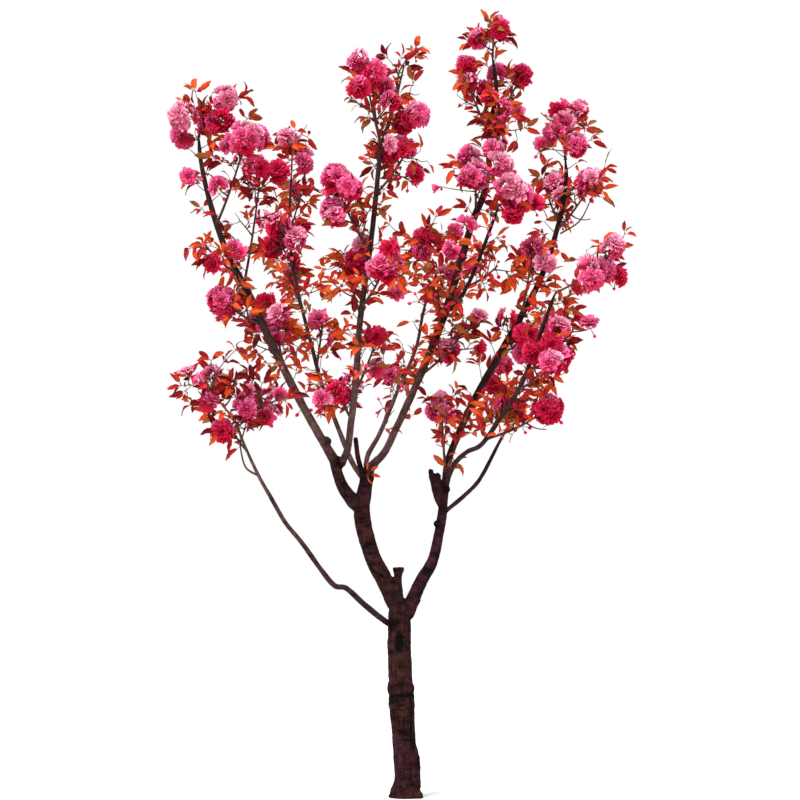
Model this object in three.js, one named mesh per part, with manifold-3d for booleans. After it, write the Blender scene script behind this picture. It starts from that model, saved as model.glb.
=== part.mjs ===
// A young double-flowered Japanese cherry tree in full bloom, with its first bronze leaves.
// Millimetres. +Z is up, +X is to the viewer's right and +Y leads away from the viewer.
// The origin is the centre of the flat cut under the trunk, at ground level.
import * as THREE from "three";
import { mergeVertices } from "three/addons/utils/BufferGeometryUtils.js";
import Module from "manifold-3d";

const wasm = await Module();
wasm.setup();

// The eye that the limbs are laid out from
const EYE_DISTANCE = 9000;
const EYE_HEIGHT = 690;

// Joints between neighbours
const CLEARANCE = 0.3;
const KEEP_OFF = 1.5;

// Root flare: lobes round the foot that die out with height
const ROOT_LOBES = 5;
const ROOT_LOBE_DEPTH = 0.12;
const ROOT_LOBE_HEIGHT = 34;

// Stems, twigs, blossom and leaves of a foliage mass
const STEM_RADII = [4.8, 3.2];
const STEM_STEPS = 2;
const STEM_BEND = 0.55;
const STEM_SAG = 0.12;
const STEM_SETBACK = 1.5;
const STEM_SPACING = 26;
const TWIG_RADII = [3.4, 2.3];
const TWIG_SPAN = [0.3, 0.97];
const TWIG_LEAN = [48, 76];
const TWIG_LENGTH = [0.6, 1.1];
const TWIG_LIFT = 0.15;
const LEAFY_TWIG = 0.6;
const LEAVES_PER_TWIG = 3;
const BLOSSOM_RADIUS = 40;
const BLOSSOM_SIZES = [0.72, 1.2];
const BLOSSOM_LUMPS = 0.13;
const BLOSSOM_SQUASH = 0.88;
const LEAF_LENGTH = 92;
const LEAF_SIZES = [0.75, 1.2];
const LEAF_WIDTH = 0.46;
const LEAF_WIDEST = 0.45;
const LEAF_FOLD = 0.09;
const LEAF_THICKNESS = 0.03;
const LEAF_KEEL = 0.28;
const LEAF_DROOP = 0.16;
const LEAF_LEAN = [46, 80];
const LEAF_STATIONS = [0.98, 0.9, 0.55];
const LEAF_SPLAY = [0.4, 1, 1];
const LEAF_ROLL = 90;
const LEAF_SUNK = 2.2;
const LEAF_NECK = 0.35;
const GOLDEN_ANGLE = 137.5;
const MOSTLY_LEAF = 2.5;

// Fineness of the sums
const WELD = 1e-4;
const TINY = 1e-9;
const FOOT_STEPS = 100;
const SEED_LIMB = 1000;
const SEED_MASS = 37;
const SEED_BALL = 7;

// Wood: each row of a path is how far across, how far up and the radius there.
// Depth is how far back the limb starts and ends.
const LIMBS = [
  {
    name: "trunk", sides: 11, rings: 20, depth: [0, 0], path: [
      [0, 0, 52], [0, 20, 45], [1, 52, 40], [-4, 115, 36], [-10, 190, 35.5], [-15, 258, 37],
      [-18, 306, 40], [-20, 345, 37], [-22, 430, 36.5], [-23, 508, 36.5], [-25, 550, 31],
      [-27, 590, 19], [-28, 632, 14.5], [-27, 664, 14], [-26, 676, 16.5], [-26, 686, 15.5],
    ],
  },
  {
    name: "left_bough", sides: 9, rings: 7, depth: [0, -12], path: [
      [-8, 528, 23], [-48, 612, 26], [-105, 723, 24], [-135, 846, 25], [-121, 950, 20],
    ],
  },
  {
    name: "right_bough", sides: 8, rings: 9, depth: [0, 14], path: [
      [-9, 519, 18], [8, 570, 21], [40, 640, 20], [76, 704, 16.5], [95, 785, 15.5], [106, 850, 14.5],
      [113, 930, 12.5],
    ],
  },
  {
    name: "far_left_bough", sides: 7, rings: 12, depth: [-8, -150], path: [
      [-134, 855, 18], [-170, 912, 18], [-206, 987, 16], [-246, 1053, 13.5], [-321, 1185, 12],
      [-399, 1341, 12], [-471, 1497, 10.5], [-543, 1635, 9.5], [-594, 1785, 8], [-621, 1905, 6.5],
      [-630, 1989, 5],
    ],
  },
  {
    name: "tall_bough", sides: 7, rings: 14, depth: [-10, 190], path: [
      [-121, 930, 15], [-108, 985, 13], [-69, 1029, 11.5], [-36, 1095, 11], [51, 1287, 11],
      [108, 1431, 12], [156, 1581, 11], [198, 1728, 11], [237, 1827, 10], [255, 2034, 8],
      [270, 2121, 6.5], [258, 2232, 4.5],
    ],
  },
  {
    name: "upright_bough", sides: 7, rings: 10, depth: [-35, -340], path: [
      [-205, 985, 11], [-180, 1035, 11], [-168, 1122, 10.5], [-155, 1236, 10], [-140, 1437, 9],
      [-108, 1671, 8], [-90, 1842, 7.5], [-78, 1971, 6],
    ],
  },
  {
    name: "inner_left_bough", sides: 6, rings: 11, depth: [-10, 460], path: [
      [-125, 945, 9], [-162, 996, 8.5], [-195, 1074, 7.5], [-258, 1242, 6.5], [-288, 1356, 6],
      [-325, 1503, 5], [-354, 1680, 4], [-348, 1890, 3.2],
    ],
  },
  {
    name: "cut_spur", sides: 7, rings: 4, depth: [-12, -20], path: [
      [-128, 952, 8.5], [-146, 1010, 7.5], [-154, 1068, 7.5], [-155, 1076, 6],
    ],
  },
  {
    name: "slender_bough", sides: 6, rings: 9, depth: [-10, 500], path: [
      [-122, 958, 8], [-118, 1020, 8], [-81, 1089, 7], [-21, 1233, 6], [27, 1344, 5.5],
      [54, 1473, 4.5], [96, 1590, 4],
    ],
  },
  {
    name: "tall_bough_fork", sides: 6, rings: 6, depth: [124, -260], path: [
      [114, 1450, 6], [156, 1488, 6], [198, 1566, 5.5], [249, 1698, 5], [279, 1782, 4],
    ],
  },
  {
    name: "far_right_bough", sides: 7, rings: 11, depth: [14, 330], path: [
      [112, 915, 12], [124, 1005, 11], [156, 1089, 11], [217, 1215, 12], [330, 1416, 10.5],
      [402, 1554, 9.5], [450, 1695, 8], [480, 1839, 6.5], [478, 1920, 5],
    ],
  },
  {
    name: "broken_stub", sides: 7, rings: 5, depth: [10, -6], path: [
      [102, 862, 9], [87, 918, 13], [77, 960, 11], [70, 980, 3],
    ],
  },
  {
    name: "right_side_bough", sides: 6, rings: 10, depth: [14, -420], path: [
      [114, 925, 8], [141, 993, 7.5], [180, 1032, 7], [222, 1053, 7], [285, 1140, 7], [343, 1233, 7],
      [393, 1365, 6.5], [435, 1482, 5], [450, 1518, 4],
    ],
  },
  {
    name: "low_right_bough", sides: 6, rings: 6, depth: [10, 420], path: [
      [104, 845, 7], [171, 900, 6.5], [219, 951, 6.5], [270, 1047, 5.5], [306, 1116, 4],
    ],
  },
  {
    name: "low_left_bough", sides: 6, rings: 13, depth: [0, -370], path: [
      [-20, 505, 10], [-57, 519, 9.5], [-126, 573, 9], [-183, 624, 8], [-216, 631, 8], [-252, 672, 7.5],
      [-315, 759, 7], [-366, 822, 6.5], [-411, 900, 6], [-444, 958, 5], [-492, 1062, 4], [-520, 1140, 3.5],
    ],
  },
];

// Foliage: each row is where the heart of a mass lies (across, up, back), how far it spreads,
// and how many blossom balls and leaves it bears.
const MASSES = {
  far_left_bough: [
    [-543, 1479, -140, 95, 3, 6],
    [-396, 1434, -20, 100, 3, 6],
    [-618, 1668, -200, 80, 1, 6],
    [-612, 2061, -150, 105, 4, 6],
    [-489, 1968, -220, 85, 4, 3],
    [-447, 1824, -40, 110, 3, 6],
  ],
  inner_left_bough: [
    [-387, 1677, 400, 100, 4, 6],
    [-321, 1812, 540, 90, 2, 6],
    [-345, 1968, 460, 80, 3, 6],
    [-255, 1413, 320, 85, 2, 6],
    [-351, 1572, 530, 100, 2, 6],
  ],
  upright_bough: [
    [-93, 1368, -170, 75, 2, 6],
    [-207, 1212, -200, 85, 3, 6],
    [-63, 1593, -370, 85, 3, 6],
    [-183, 1602, -240, 95, 3, 6],
    [-207, 1824, -350, 85, 4, 4],
    [-3, 1938, -290, 110, 4, 6],
    [-123, 2166, -380, 85, 4, 6],
    [-9, 2202, -270, 75, 2, 6],
  ],
  slender_bough: [
    [39, 1647, 470, 110, 4, 8],
    [-27, 1272, 430, 80, 2, 6],
  ],
  tall_bough: [
    [168, 1389, 50, 100, 3, 6],
    [90, 1563, 230, 90, 2, 6],
    [207, 1893, 100, 100, 4, 6],
    [306, 2058, 110, 85, 2, 6],
    [345, 2172, 260, 85, 2, 6],
    [180, 2160, 220, 85, 3, 6],
    [262, 2285, 185, 70, 3, 6],
  ],
  tall_bough_fork: [
    [324, 1803, -280, 85, 4, 4],
    [273, 1593, -150, 100, 1, 8],
  ],
  far_right_bough: [
    [102, 1191, 60, 78, 2, 4],
    [369, 1383, 200, 100, 3, 6],
    [378, 1638, 180, 80, 3, 6],
    [417, 1833, 380, 80, 3, 6],
    [555, 1842, 290, 85, 3, 6],
    [474, 2034, 330, 100, 4, 6],
  ],
  right_side_bough: [
    [420, 1161, -290, 70, 3, 3],
    [447, 1305, -420, 85, 4, 6],
    [483, 1428, -370, 90, 3, 6],
    [612, 1626, -440, 90, 3, 6],
    [294, 1182, -240, 90, 2, 6],
  ],
  low_right_bough: [
    [279, 1194, 430, 90, 2, 6],
  ],
  low_left_bough: [
    [-528, 1104, -320, 75, 3, 3],
    [-603, 1242, -420, 105, 4, 6],
    [-435, 1188, -330, 105, 4, 6],
  ],
};

// Looks
const BARK = new THREE.MeshStandardMaterial({ color: 0x3f2a2b, roughness: 0.88, metalness: 0 });
const BLOSSOM = new THREE.MeshStandardMaterial({ color: 0xd24a7c, roughness: 0.75, metalness: 0 });
const YOUNG_LEAF = new THREE.MeshStandardMaterial({ color: 0xb0421f, roughness: 0.6, metalness: 0 });

const UP = new THREE.Vector3(0, 0, 1);
const ACROSS = new THREE.Vector3(1, 0, 0);

// A repeatable stream of numbers from 0 to 1
function seeded(seed) {
  let state = seed >>> 0;
  return () => {
    state = (state + 0x6d2b79f5) >>> 0;
    let mixed = Math.imul(state ^ (state >>> 15), 1 | state);
    mixed = (mixed + Math.imul(mixed ^ (mixed >>> 7), 61 | mixed)) ^ mixed;
    return ((mixed ^ (mixed >>> 14)) >>> 0) / 4294967296;
  };
}

function between([low, high], share) {
  return low + (high - low) * share;
}

// The point that lies `back` behind the trunk and is seen at (across, up) beside it
function seen(across, up, back) {
  const grow = (EYE_DISTANCE + back) / EYE_DISTANCE;
  return new THREE.Vector3(across * grow, back, EYE_HEIGHT + (up - EYE_HEIGHT) * grow);
}

// Two directions square to an axis
function squareTo(axis) {
  const guide = Math.abs(axis.z) > 0.95 ? ACROSS : UP;
  const side = axis.clone().cross(guide).normalize();
  return [side, side.clone().cross(axis)];
}

// A direction that leans off an axis by `lean` and is turned about it by `turn`, both in degrees
function leaning(axis, lean, turn) {
  const [side, other] = squareTo(axis);
  const tilt = THREE.MathUtils.degToRad(lean);
  const spin = THREE.MathUtils.degToRad(turn);
  return axis.clone().multiplyScalar(Math.cos(tilt))
    .addScaledVector(side, Math.cos(spin) * Math.sin(tilt))
    .addScaledVector(other, Math.sin(spin) * Math.sin(tilt));
}

function solidOf(geometry) {
  const bare = geometry.clone();
  bare.deleteAttribute("normal");
  bare.deleteAttribute("uv");
  const merged = mergeVertices(bare, WELD);
  const vertProperties = new Float32Array(merged.getAttribute("position").array);
  const triVerts = new Uint32Array(merged.index.array);
  return new wasm.Manifold(new wasm.Mesh({ numProp: 3, vertProperties, triVerts }));
}

function geometryOf(solid) {
  const { vertProperties, triVerts } = solid.getMesh();
  const geometry = new THREE.BufferGeometry();
  geometry.setAttribute("position", new THREE.BufferAttribute(new Float32Array(vertProperties), 3));
  geometry.setIndex(new THREE.BufferAttribute(new Uint32Array(triVerts), 1));
  return geometry;
}

function largestBody(solid) {
  return solid.decompose().reduce((best, body) => (body.volume() > best.volume() ? body : best));
}

// A closed cylinder bent along a curve, with its own radius at each ring
function bentCylinder(curve, radiusAt, sides, rings, lobe = () => 1) {
  const geometry = new THREE.CylinderGeometry(1, 1, 1, sides, rings);
  const position = geometry.getAttribute("position");
  let normal = ACROSS.clone();
  const frames = Array.from({ length: rings + 1 }, (_, ring) => {
    const share = ring / rings;
    const tangent = curve.getTangentAt(share);
    normal = normal.clone().addScaledVector(tangent, -normal.dot(tangent)).normalize();
    const binormal = normal.clone().cross(tangent);
    return { centre: curve.getPointAt(share), normal, binormal, radius: radiusAt(share) };
  });
  for (let i = 0; i < position.count; i += 1) {
    const { centre, normal, binormal, radius } = frames[Math.round((position.getY(i) + 0.5) * rings)];
    const [x, z] = [position.getX(i), position.getZ(i)];
    const reach = radius * lobe(Math.atan2(x, z), centre.z);
    const point = centre.clone().addScaledVector(normal, x * reach).addScaledVector(binormal, z * reach);
    position.setXYZ(i, point.x, point.y, point.z);
  }
  return geometry;
}

// Limbs: the centre line eases back in depth along its length
function layOut(limb) {
  const last = limb.path.length - 1;
  const points = limb.path.map(([across, up], i) => {
    const ease = Math.sin((i / last) * Math.PI / 2);
    return seen(across, up, between(limb.depth, ease));
  });
  const curve = new THREE.CatmullRomCurve3(points, false, "centripetal");
  const radiusAt = (share) => {
    const along = curve.getUtoTmapping(share) * last;
    const row = Math.min(Math.floor(along), last - 1);
    return between([limb.path[row][2], limb.path[row + 1][2]], along - row);
  };
  return { ...limb, curve, radiusAt, feet: [] };
}

function rootLobes(angle, height) {
  const fade = Math.exp(-Math.max(height, 0) / ROOT_LOBE_HEIGHT);
  return 1 + ROOT_LOBE_DEPTH * Math.cos(ROOT_LOBES * angle) * fade;
}

function limbSolid(limb, extra) {
  const grow = extra / Math.cos(Math.PI / limb.sides);
  const lobe = limb.name === "trunk" ? rootLobes : undefined;
  const geometry = bentCylinder(limb.curve, (share) => limb.radiusAt(share) + grow, limb.sides, limb.rings, lobe);
  if (limb.name === "trunk") {
    const position = geometry.getAttribute("position");
    for (let i = 0; i < position.count; i += 1) {
      if (position.getZ(i) < KEEP_OFF) position.setZ(i, 0);
    }
  }
  return solidOf(geometry);
}

// A capsule is a straight core with a radius; a ball is a capsule of no length
function capsulesOf(limb) {
  return Array.from({ length: limb.rings }, (_, ring) => {
    const [start, end] = [ring / limb.rings, (ring + 1) / limb.rings];
    const radius = Math.max(limb.radiusAt(start), limb.radiusAt(end));
    return { a: limb.curve.getPointAt(start), b: limb.curve.getPointAt(end), radius, owner: limb.name };
  });
}

function gapBetween(one, other) {
  const [d1, d2] = [one.b.clone().sub(one.a), other.b.clone().sub(other.a)];
  const r = one.a.clone().sub(other.a);
  const [a, e, f] = [d1.lengthSq(), d2.lengthSq(), d2.dot(r)];
  const [b, c] = [d1.dot(d2), d1.dot(r)];
  const clamp = (value) => Math.min(Math.max(value, 0), 1);
  const spread = a * e - b * b;
  let s = spread > TINY ? clamp((b * f - c * e) / spread) : 0;
  const t = e > TINY ? clamp((b * s + f) / e) : 0;
  s = a > TINY ? clamp((b * t - c) / a) : 0;
  const near = one.a.clone().addScaledVector(d1, s);
  const far = other.a.clone().addScaledVector(d2, t);
  return near.distanceTo(far) - one.radius - other.radius;
}

// Where a stem leaves its limb: a little below the point nearest to the heart, clear of the stems before it
function footOn(limb, heart) {
  const length = limb.curve.getLength();
  let best = { share: 1, distance: Infinity };
  for (let step = 0; step <= FOOT_STEPS; step += 1) {
    const share = step / FOOT_STEPS;
    const distance = limb.curve.getPointAt(share).distanceTo(heart);
    if (distance < best.distance) best = { share, distance };
  }
  const setback = best.share === 1 ? STEM_SPACING / 4 : best.distance * STEM_SETBACK;
  let along = Math.max(best.share * length - setback, STEM_SPACING);
  while (limb.feet.some((other) => Math.abs(other - along) < STEM_SPACING)) along -= 1;
  limb.feet.push(along);
  return limb.curve.getPointAt(along / length);
}

// The growth rule of one mass: a stem with twigs that turn about it by the golden angle.
// Some twigs end in blossom, like the stem, and the others bear leaves.
function planMass(name, limb, [across, up, back, spread, blossoms, leaves], seed) {
  const random = seeded(seed);
  const heart = seen(across, up, back);
  const foot = footOn(limb, heart);
  const bend = foot.clone().lerp(heart, STEM_BEND);
  bend.z -= STEM_SAG * foot.distanceTo(heart);
  const stem = new THREE.QuadraticBezierCurve3(foot, bend, heart).getPoints(STEM_STEPS);
  const leafy = Math.ceil(leaves / LEAVES_PER_TWIG);
  const count = blossoms - 1 + leafy;
  const phase = 360 * random();
  const twigs = Array.from({ length: count }, (_, k) => {
    const bearsLeaves = Math.floor((k + 1) * leafy / count) > Math.floor(k * leafy / count);
    const share = between(TWIG_SPAN, (k + 0.5) / count);
    const step = Math.min(Math.floor(share * STEM_STEPS), STEM_STEPS - 1);
    const root = stem[step].clone().lerp(stem[step + 1], share * STEM_STEPS - step);
    const along = stem[step + 1].clone().sub(stem[step]).normalize();
    const axis = leaning(along, between(TWIG_LEAN, random()), phase + k * GOLDEN_ANGLE);
    axis.z += TWIG_LIFT;
    const length = spread * between(TWIG_LENGTH, random()) * (bearsLeaves ? LEAFY_TWIG : 1);
    const tip = root.clone().addScaledVector(axis.normalize(), length);
    return { a: root, b: tip, axis, radius: TWIG_RADII[0], bearsLeaves, owner: name };
  });
  const flowering = [null, ...twigs.filter((twig) => !twig.bearsLeaves)];
  const balls = flowering.map((twig) => {
    const radius = BLOSSOM_RADIUS * between(BLOSSOM_SIZES, random());
    const centre = twig ? twig.b : heart;
    return { a: centre, b: centre, radius, twig, turn: 360 * random(), owner: name };
  });
  const leafTwigs = twigs.filter((twig) => twig.bearsLeaves);
  const blades = Array.from({ length: leaves }, (_, k) => {
    const twig = leafTwigs[Math.floor(k / LEAVES_PER_TWIG)];
    const place = k % LEAVES_PER_TWIG;
    const root = twig.a.clone().lerp(twig.b, LEAF_STATIONS[place]);
    const out = leaning(twig.axis, between(LEAF_LEAN, random()) * LEAF_SPLAY[place], phase + k * GOLDEN_ANGLE);
    const length = LEAF_LENGTH * between(LEAF_SIZES, random());
    out.z -= LEAF_DROOP;
    out.normalize();
    const roll = between([-LEAF_ROLL, LEAF_ROLL], random());
    const [a, b] = [root.clone().addScaledVector(out, LEAF_NECK * length), root.clone().addScaledVector(out, length)];
    return { a, b, radius: 0.5 * LEAF_WIDTH * length, root, out, length, roll, twig, owner: name };
  });
  return { name, limb, stem, twigs, balls, blades };
}

// Solids of one mass: a stem or twig is three-sided and straight between its points
function tapered(points, radii) {
  const curve = new THREE.CurvePath();
  points.slice(1).forEach((point, i) => curve.add(new THREE.LineCurve3(points[i], point)));
  return solidOf(bentCylinder(curve, (share) => between(radii, share), 3, points.length - 1));
}

const lumpyBall = (() => {
  const ball = new THREE.IcosahedronGeometry(1, 0);
  ball.deleteAttribute("normal");
  ball.deleteAttribute("uv");
  const merged = mergeVertices(ball, WELD);
  const position = merged.getAttribute("position");
  const random = seeded(SEED_BALL);
  for (let i = 0; i < position.count; i += 1) {
    const swell = 1 + BLOSSOM_LUMPS * (2 * random() - 1);
    position.setXYZ(i, position.getX(i) * swell, position.getY(i) * swell, position.getZ(i) * swell);
  }
  return merged;
})();

function blossomSolid({ a, radius, turn }) {
  const ball = lumpyBall.clone().rotateX(THREE.MathUtils.degToRad(turn / 3));
  ball.rotateZ(THREE.MathUtils.degToRad(turn));
  return solidOf(ball.scale(radius, radius, radius * BLOSSOM_SQUASH).translate(a.x, a.y, a.z));
}

// A leaf is a kite folded up along its midrib, with a keel under it
const LEAF_FACES = [0, 2, 1, 0, 1, 3, 0, 4, 2, 2, 4, 1, 1, 4, 3, 3, 4, 0];

function leafSolid({ root, out, length, roll }) {
  const [half, fold] = [0.5 * LEAF_WIDTH * length, LEAF_FOLD * length];
  const corners = [
    [0, 0, 0], [length, 0, 0], [LEAF_WIDEST * length, -half, fold], [LEAF_WIDEST * length, half, fold],
    [LEAF_KEEL * length, 0, -LEAF_THICKNESS * length],
  ];
  const leaf = new THREE.BufferGeometry();
  leaf.setAttribute("position", new THREE.Float32BufferAttribute(corners.flat(), 3));
  leaf.setIndex(LEAF_FACES);
  const wide = squareTo(out)[0].applyAxisAngle(out, THREE.MathUtils.degToRad(roll));
  const basis = new THREE.Matrix4().makeBasis(out, wide, out.clone().cross(wide));
  const base = root.clone().addScaledVector(out, -LEAF_SUNK);
  return solidOf(leaf.applyMatrix4(basis).translate(base.x, base.y, base.z));
}

// Grow the wood: each limb is cut clear of those before it
const limbs = LIMBS.map(layOut);
const jackets = new Map(limbs.map((limb) => [limb.name, limbSolid(limb, CLEARANCE)]));
const tree = new THREE.Group();
tree.name = "flowering_cherry_tree";

function addNode(name, solid, material) {
  const mesh = new THREE.Mesh(geometryOf(solid), material);
  mesh.name = name;
  tree.add(mesh);
}

limbs.forEach((limb, i) => {
  const before = limbs.slice(0, i).map((other) => jackets.get(other.name));
  const cut = before.reduce((solid, jacket) => solid.subtract(jacket), limbSolid(limb, 0));
  addNode(limb.name, largestBody(cut), BARK);
});

// Plan the masses, then let twigs, blossom and leaves in turn take the room that is left
const plans = limbs.flatMap((limb) => (MASSES[limb.name] ?? []).map((row, k) => {
  const name = limb.name.replace("_bough", "") + "_mass_" + (k + 1);
  return planMass(name, limb, row, SEED_LIMB * (limbs.indexOf(limb) + 1) + SEED_MASS * k);
}));
const taken = limbs.flatMap(capsulesOf);

for (const { name, stem } of plans) {
  for (let step = 0; step < STEM_STEPS; step += 1) {
    taken.push({ a: stem[step], b: stem[step + 1], radius: STEM_RADII[0], owner: name });
  }
}

function hasRoom(piece) {
  if (piece.twig && !piece.twig.kept) return false;
  return taken.every((other) => {
    if (other.owner !== piece.owner) return gapBetween(piece, other) > KEEP_OFF;
    return !piece.out || !other.turn || gapBetween(piece, other) > 0;
  });
}

for (const kind of ["twigs", "balls", "blades"]) {
  for (const plan of plans) {
    for (const piece of plan[kind]) {
      piece.kept = hasRoom(piece);
      if (piece.kept) taken.push(piece);
    }
  }
}

for (const { name, limb, stem, twigs, balls, blades } of plans) {
  const stemSolid = tapered(stem, STEM_RADII).subtract(jackets.get(limb.name));
  const kept = (piece) => piece.kept;
  const pieces = [
    ...twigs.filter(kept).map(({ a, b }) => tapered([a, b], TWIG_RADII)),
    ...balls.filter(kept).map(blossomSolid),
    ...blades.filter(kept).map(leafSolid),
  ];
  const whole = pieces.reduce((solid, piece) => solid.add(piece), largestBody(stemSolid));
  addNode(name, largestBody(whole), blades.length > MOSTLY_LEAF * balls.length ? YOUNG_LEAF : BLOSSOM);
}

export default tree;
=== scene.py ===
"""A young double-flowered cherry tree in full bloom, grown limb by limb and twig by twig."""
import math

import bpy
import numpy as np
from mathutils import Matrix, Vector, noise


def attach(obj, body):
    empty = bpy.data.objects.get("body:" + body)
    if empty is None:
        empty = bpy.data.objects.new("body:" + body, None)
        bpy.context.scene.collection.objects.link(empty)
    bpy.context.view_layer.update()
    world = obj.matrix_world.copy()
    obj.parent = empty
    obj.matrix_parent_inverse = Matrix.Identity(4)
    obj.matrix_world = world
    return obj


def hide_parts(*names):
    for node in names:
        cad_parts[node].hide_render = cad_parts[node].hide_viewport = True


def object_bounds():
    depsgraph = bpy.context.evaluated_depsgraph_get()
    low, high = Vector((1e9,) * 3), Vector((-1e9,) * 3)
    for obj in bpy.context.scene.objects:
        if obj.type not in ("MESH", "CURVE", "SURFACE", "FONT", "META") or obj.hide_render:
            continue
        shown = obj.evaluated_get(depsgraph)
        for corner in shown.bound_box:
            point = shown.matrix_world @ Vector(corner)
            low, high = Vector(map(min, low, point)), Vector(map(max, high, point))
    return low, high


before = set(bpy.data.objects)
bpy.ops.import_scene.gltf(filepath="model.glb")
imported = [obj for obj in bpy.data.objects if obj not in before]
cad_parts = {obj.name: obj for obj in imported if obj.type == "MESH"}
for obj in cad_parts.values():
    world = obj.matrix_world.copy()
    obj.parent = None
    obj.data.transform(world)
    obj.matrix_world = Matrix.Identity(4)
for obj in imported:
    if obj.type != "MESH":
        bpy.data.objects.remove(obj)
cad_low, cad_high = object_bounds()

# Sizes are in millimetres as in the source, and the scene is in metres
MM = 0.001
EYE_DISTANCE = 9000
EYE_HEIGHT = 690
ACROSS, BACK, UP = np.eye(3)
FINE = 24
GOLDEN_ANGLE = 137.5

# About the most faces in a piece, and how far the crown may pass the solids' box
QUADS_PER_PIECE = 90000
BOX_SLACK = np.array([44.0, 40.0, 70.0])

# Stems and twigs of a foliage mass, by the source's rule
STEM_POINTS = 13
STEM_RADII = (4.4, 2.6)
STEM_GIRTH = 0.8
STEM_BEND = 0.55
STEM_SAG = 0.12
STEM_SETBACK = 1.5
STEM_SPACING = 26
TWIG_RADII = (2.6, 1.5)
TWIG_SPAN = (0.3, 0.97)
TWIG_LEAN = (48, 76)
TWIG_LENGTH = (0.6, 1.1)
TWIG_LIFT = 0.15
LEAFY_TWIG = 0.6
LEAVES_PER_TWIG = 3
BLOSSOM_RADIUS = 40
BLOSSOM_SIZES = (0.72, 1.2)
LEAF_LENGTH = 92
LEAF_SIZES = (0.75, 1.2)
LEAF_DROOP = 0.16
LEAF_LEAN = (46, 80)
LEAF_STATIONS = (0.98, 0.9, 0.55)
LEAF_SPLAY = (0.4, 1, 1)
FOOT_STEPS = 100

# Seeds, and the streams of a mass's twigs, a bough's spurs and a mass's blossom
SEED_LIMB = 1000
SEED_MASS = 37
SEED_CLUSTER = 40000
SEED_SPRAY = 60000
SEED_SHOOTS = 4021
SEED_FLOWER, SEED_BUD, SEED_LEAF = 11, 61, 81
TWIG_STREAM, SPUR_STREAM, BLOOM_STREAM = 5, 7, 9

# Finer growth: spurs, leaf tufts and flower clusters
TWIG_SAG = 0.06
TWIG_STEP = 14
LONG_TWIG = 60
REACH_RADII = (1.9, 1.1)
BLADE_RADII = (1.3, 0.9)
BLADE_TWIG = 0.32
SPUR_RADII = (1.6, 1.0)
SPUR_STEP = (24, 42)
SPUR_LENGTH = (14, 58)
SPUR_LEAN = (48, 78)
TWIG_SPUR_LENGTH = (12, 30)
STEM_SPUR_LENGTH = (10, 26)
STEM_SPUR_LEAN = (45, 75)
STEM_SPUR_FIRST, STEM_SPUR_STEP = 35, 38
SPUR_BLOOM_WIDTH = (45, 72)
LEAF_SPURS, BUD_SPURS = 0.86, 0.14
BARE_BELOW = {"far_right_bough": 1000, "low_left_bough": 1040}
BARE_ELSEWHERE = 1110
YOUNG_LEAF = (27, 54)
TUFT_LEAN = (18, 78)
TUFT_OWN_TINT = 0.68
STALK = (7, 14)
LEAF_ROOM = 24
FLOWER_RADIUS = (30, 36)
FLOWER_GAP = 23
FLOWER_NECK = 7
MOST_FLOWERS = 12
BALL_BLOOM = 0.5
DARK_BALL_BLOOM = 0.1
BALL_WIDTH = 1.5
BALL_DEPTH = 10
BALL_LEAVES = 4
BLADE_LEAVES = 5
CLUSTER_LEAVES = 2
SMALL_CLUSTER = 47
SPRAY_SHORT = 8

# Tints and their weights. Sprays that are right of RED_FROM and under RED_BELOW take the red ones
RED_FROM, RED_BELOW = 90, 1460
LEAF_TINTS = {"orange": 0.40, "rust": 0.34, "olive": 0.12, "maroon": 0.14}
# The low left mass takes darker leaf tints: painted shade, as that mass lies in deep shade
PAINTED_SHADE_TINTS = {"orange": 0.10, "rust": 0.26, "olive": 0.10, "maroon": 0.54}
RED_TINTS = {"orange": 0.20, "rust": 0.40, "olive": 0.08, "maroon": 0.32}
BLOOM_TINTS = {"deep": 0.42, "mid": 0.46, "pale": 0.12}
SHADES = list(BLOOM_TINTS)

# Wood: limbs that are whole in the trunk's skin, and how far the other boughs run into it
WHOLE = ("trunk", "left_bough", "right_bough", "cut_spur", "broken_stub")
FORK_REACH = {"far_left_bough": 270, "tall_bough": 170, "upright_bough": 120, "inner_left_bough": 130,
              "slender_bough": 130, "tall_bough_fork": 0, "far_right_bough": 190, "right_side_bough": 120,
              "low_right_bough": 110, "low_left_bough": 130}
FORK_OVERLAP = 34
FORK_TUCK, BOUGH_TUCK = 1.6, 1.4
SKIN_SIDES, BOUGH_SIDES = 24, 14
WOOD_STEP = 5
TIP_TAPER, TUCK_TAPER = 40, 26
SKIN_VOXEL = 2.3
SMOOTH_ROUNDS = 26
SMOOTH_REACH = 15
VERTS_AT_A_TIME = 4000

# Where the wood lies off the solids: how far, and the heights or lengths between which that changes
TOP_FORWARD, TOP_SPAN = 16, (520, 590)
LOW_BOUGH_BACK, LOW_BOUGH_SPAN = 26, (0, 190)
LEFT_BOW, LEFT_BOW_SPAN = 15.5, (15, 178)

# Rolls and grooves of the trunk's swollen ring, and of its pruned top: height, width and share
RING_ROLLS = ((324, 19, 1.0), (282, 14, 0.7))
RING_GROOVES = ((301, 8, 1.0), (347, 6, 0.45))
PRUNED_TOP = ((680, 8, 1.6), (648, 20, -2.8))

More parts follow.
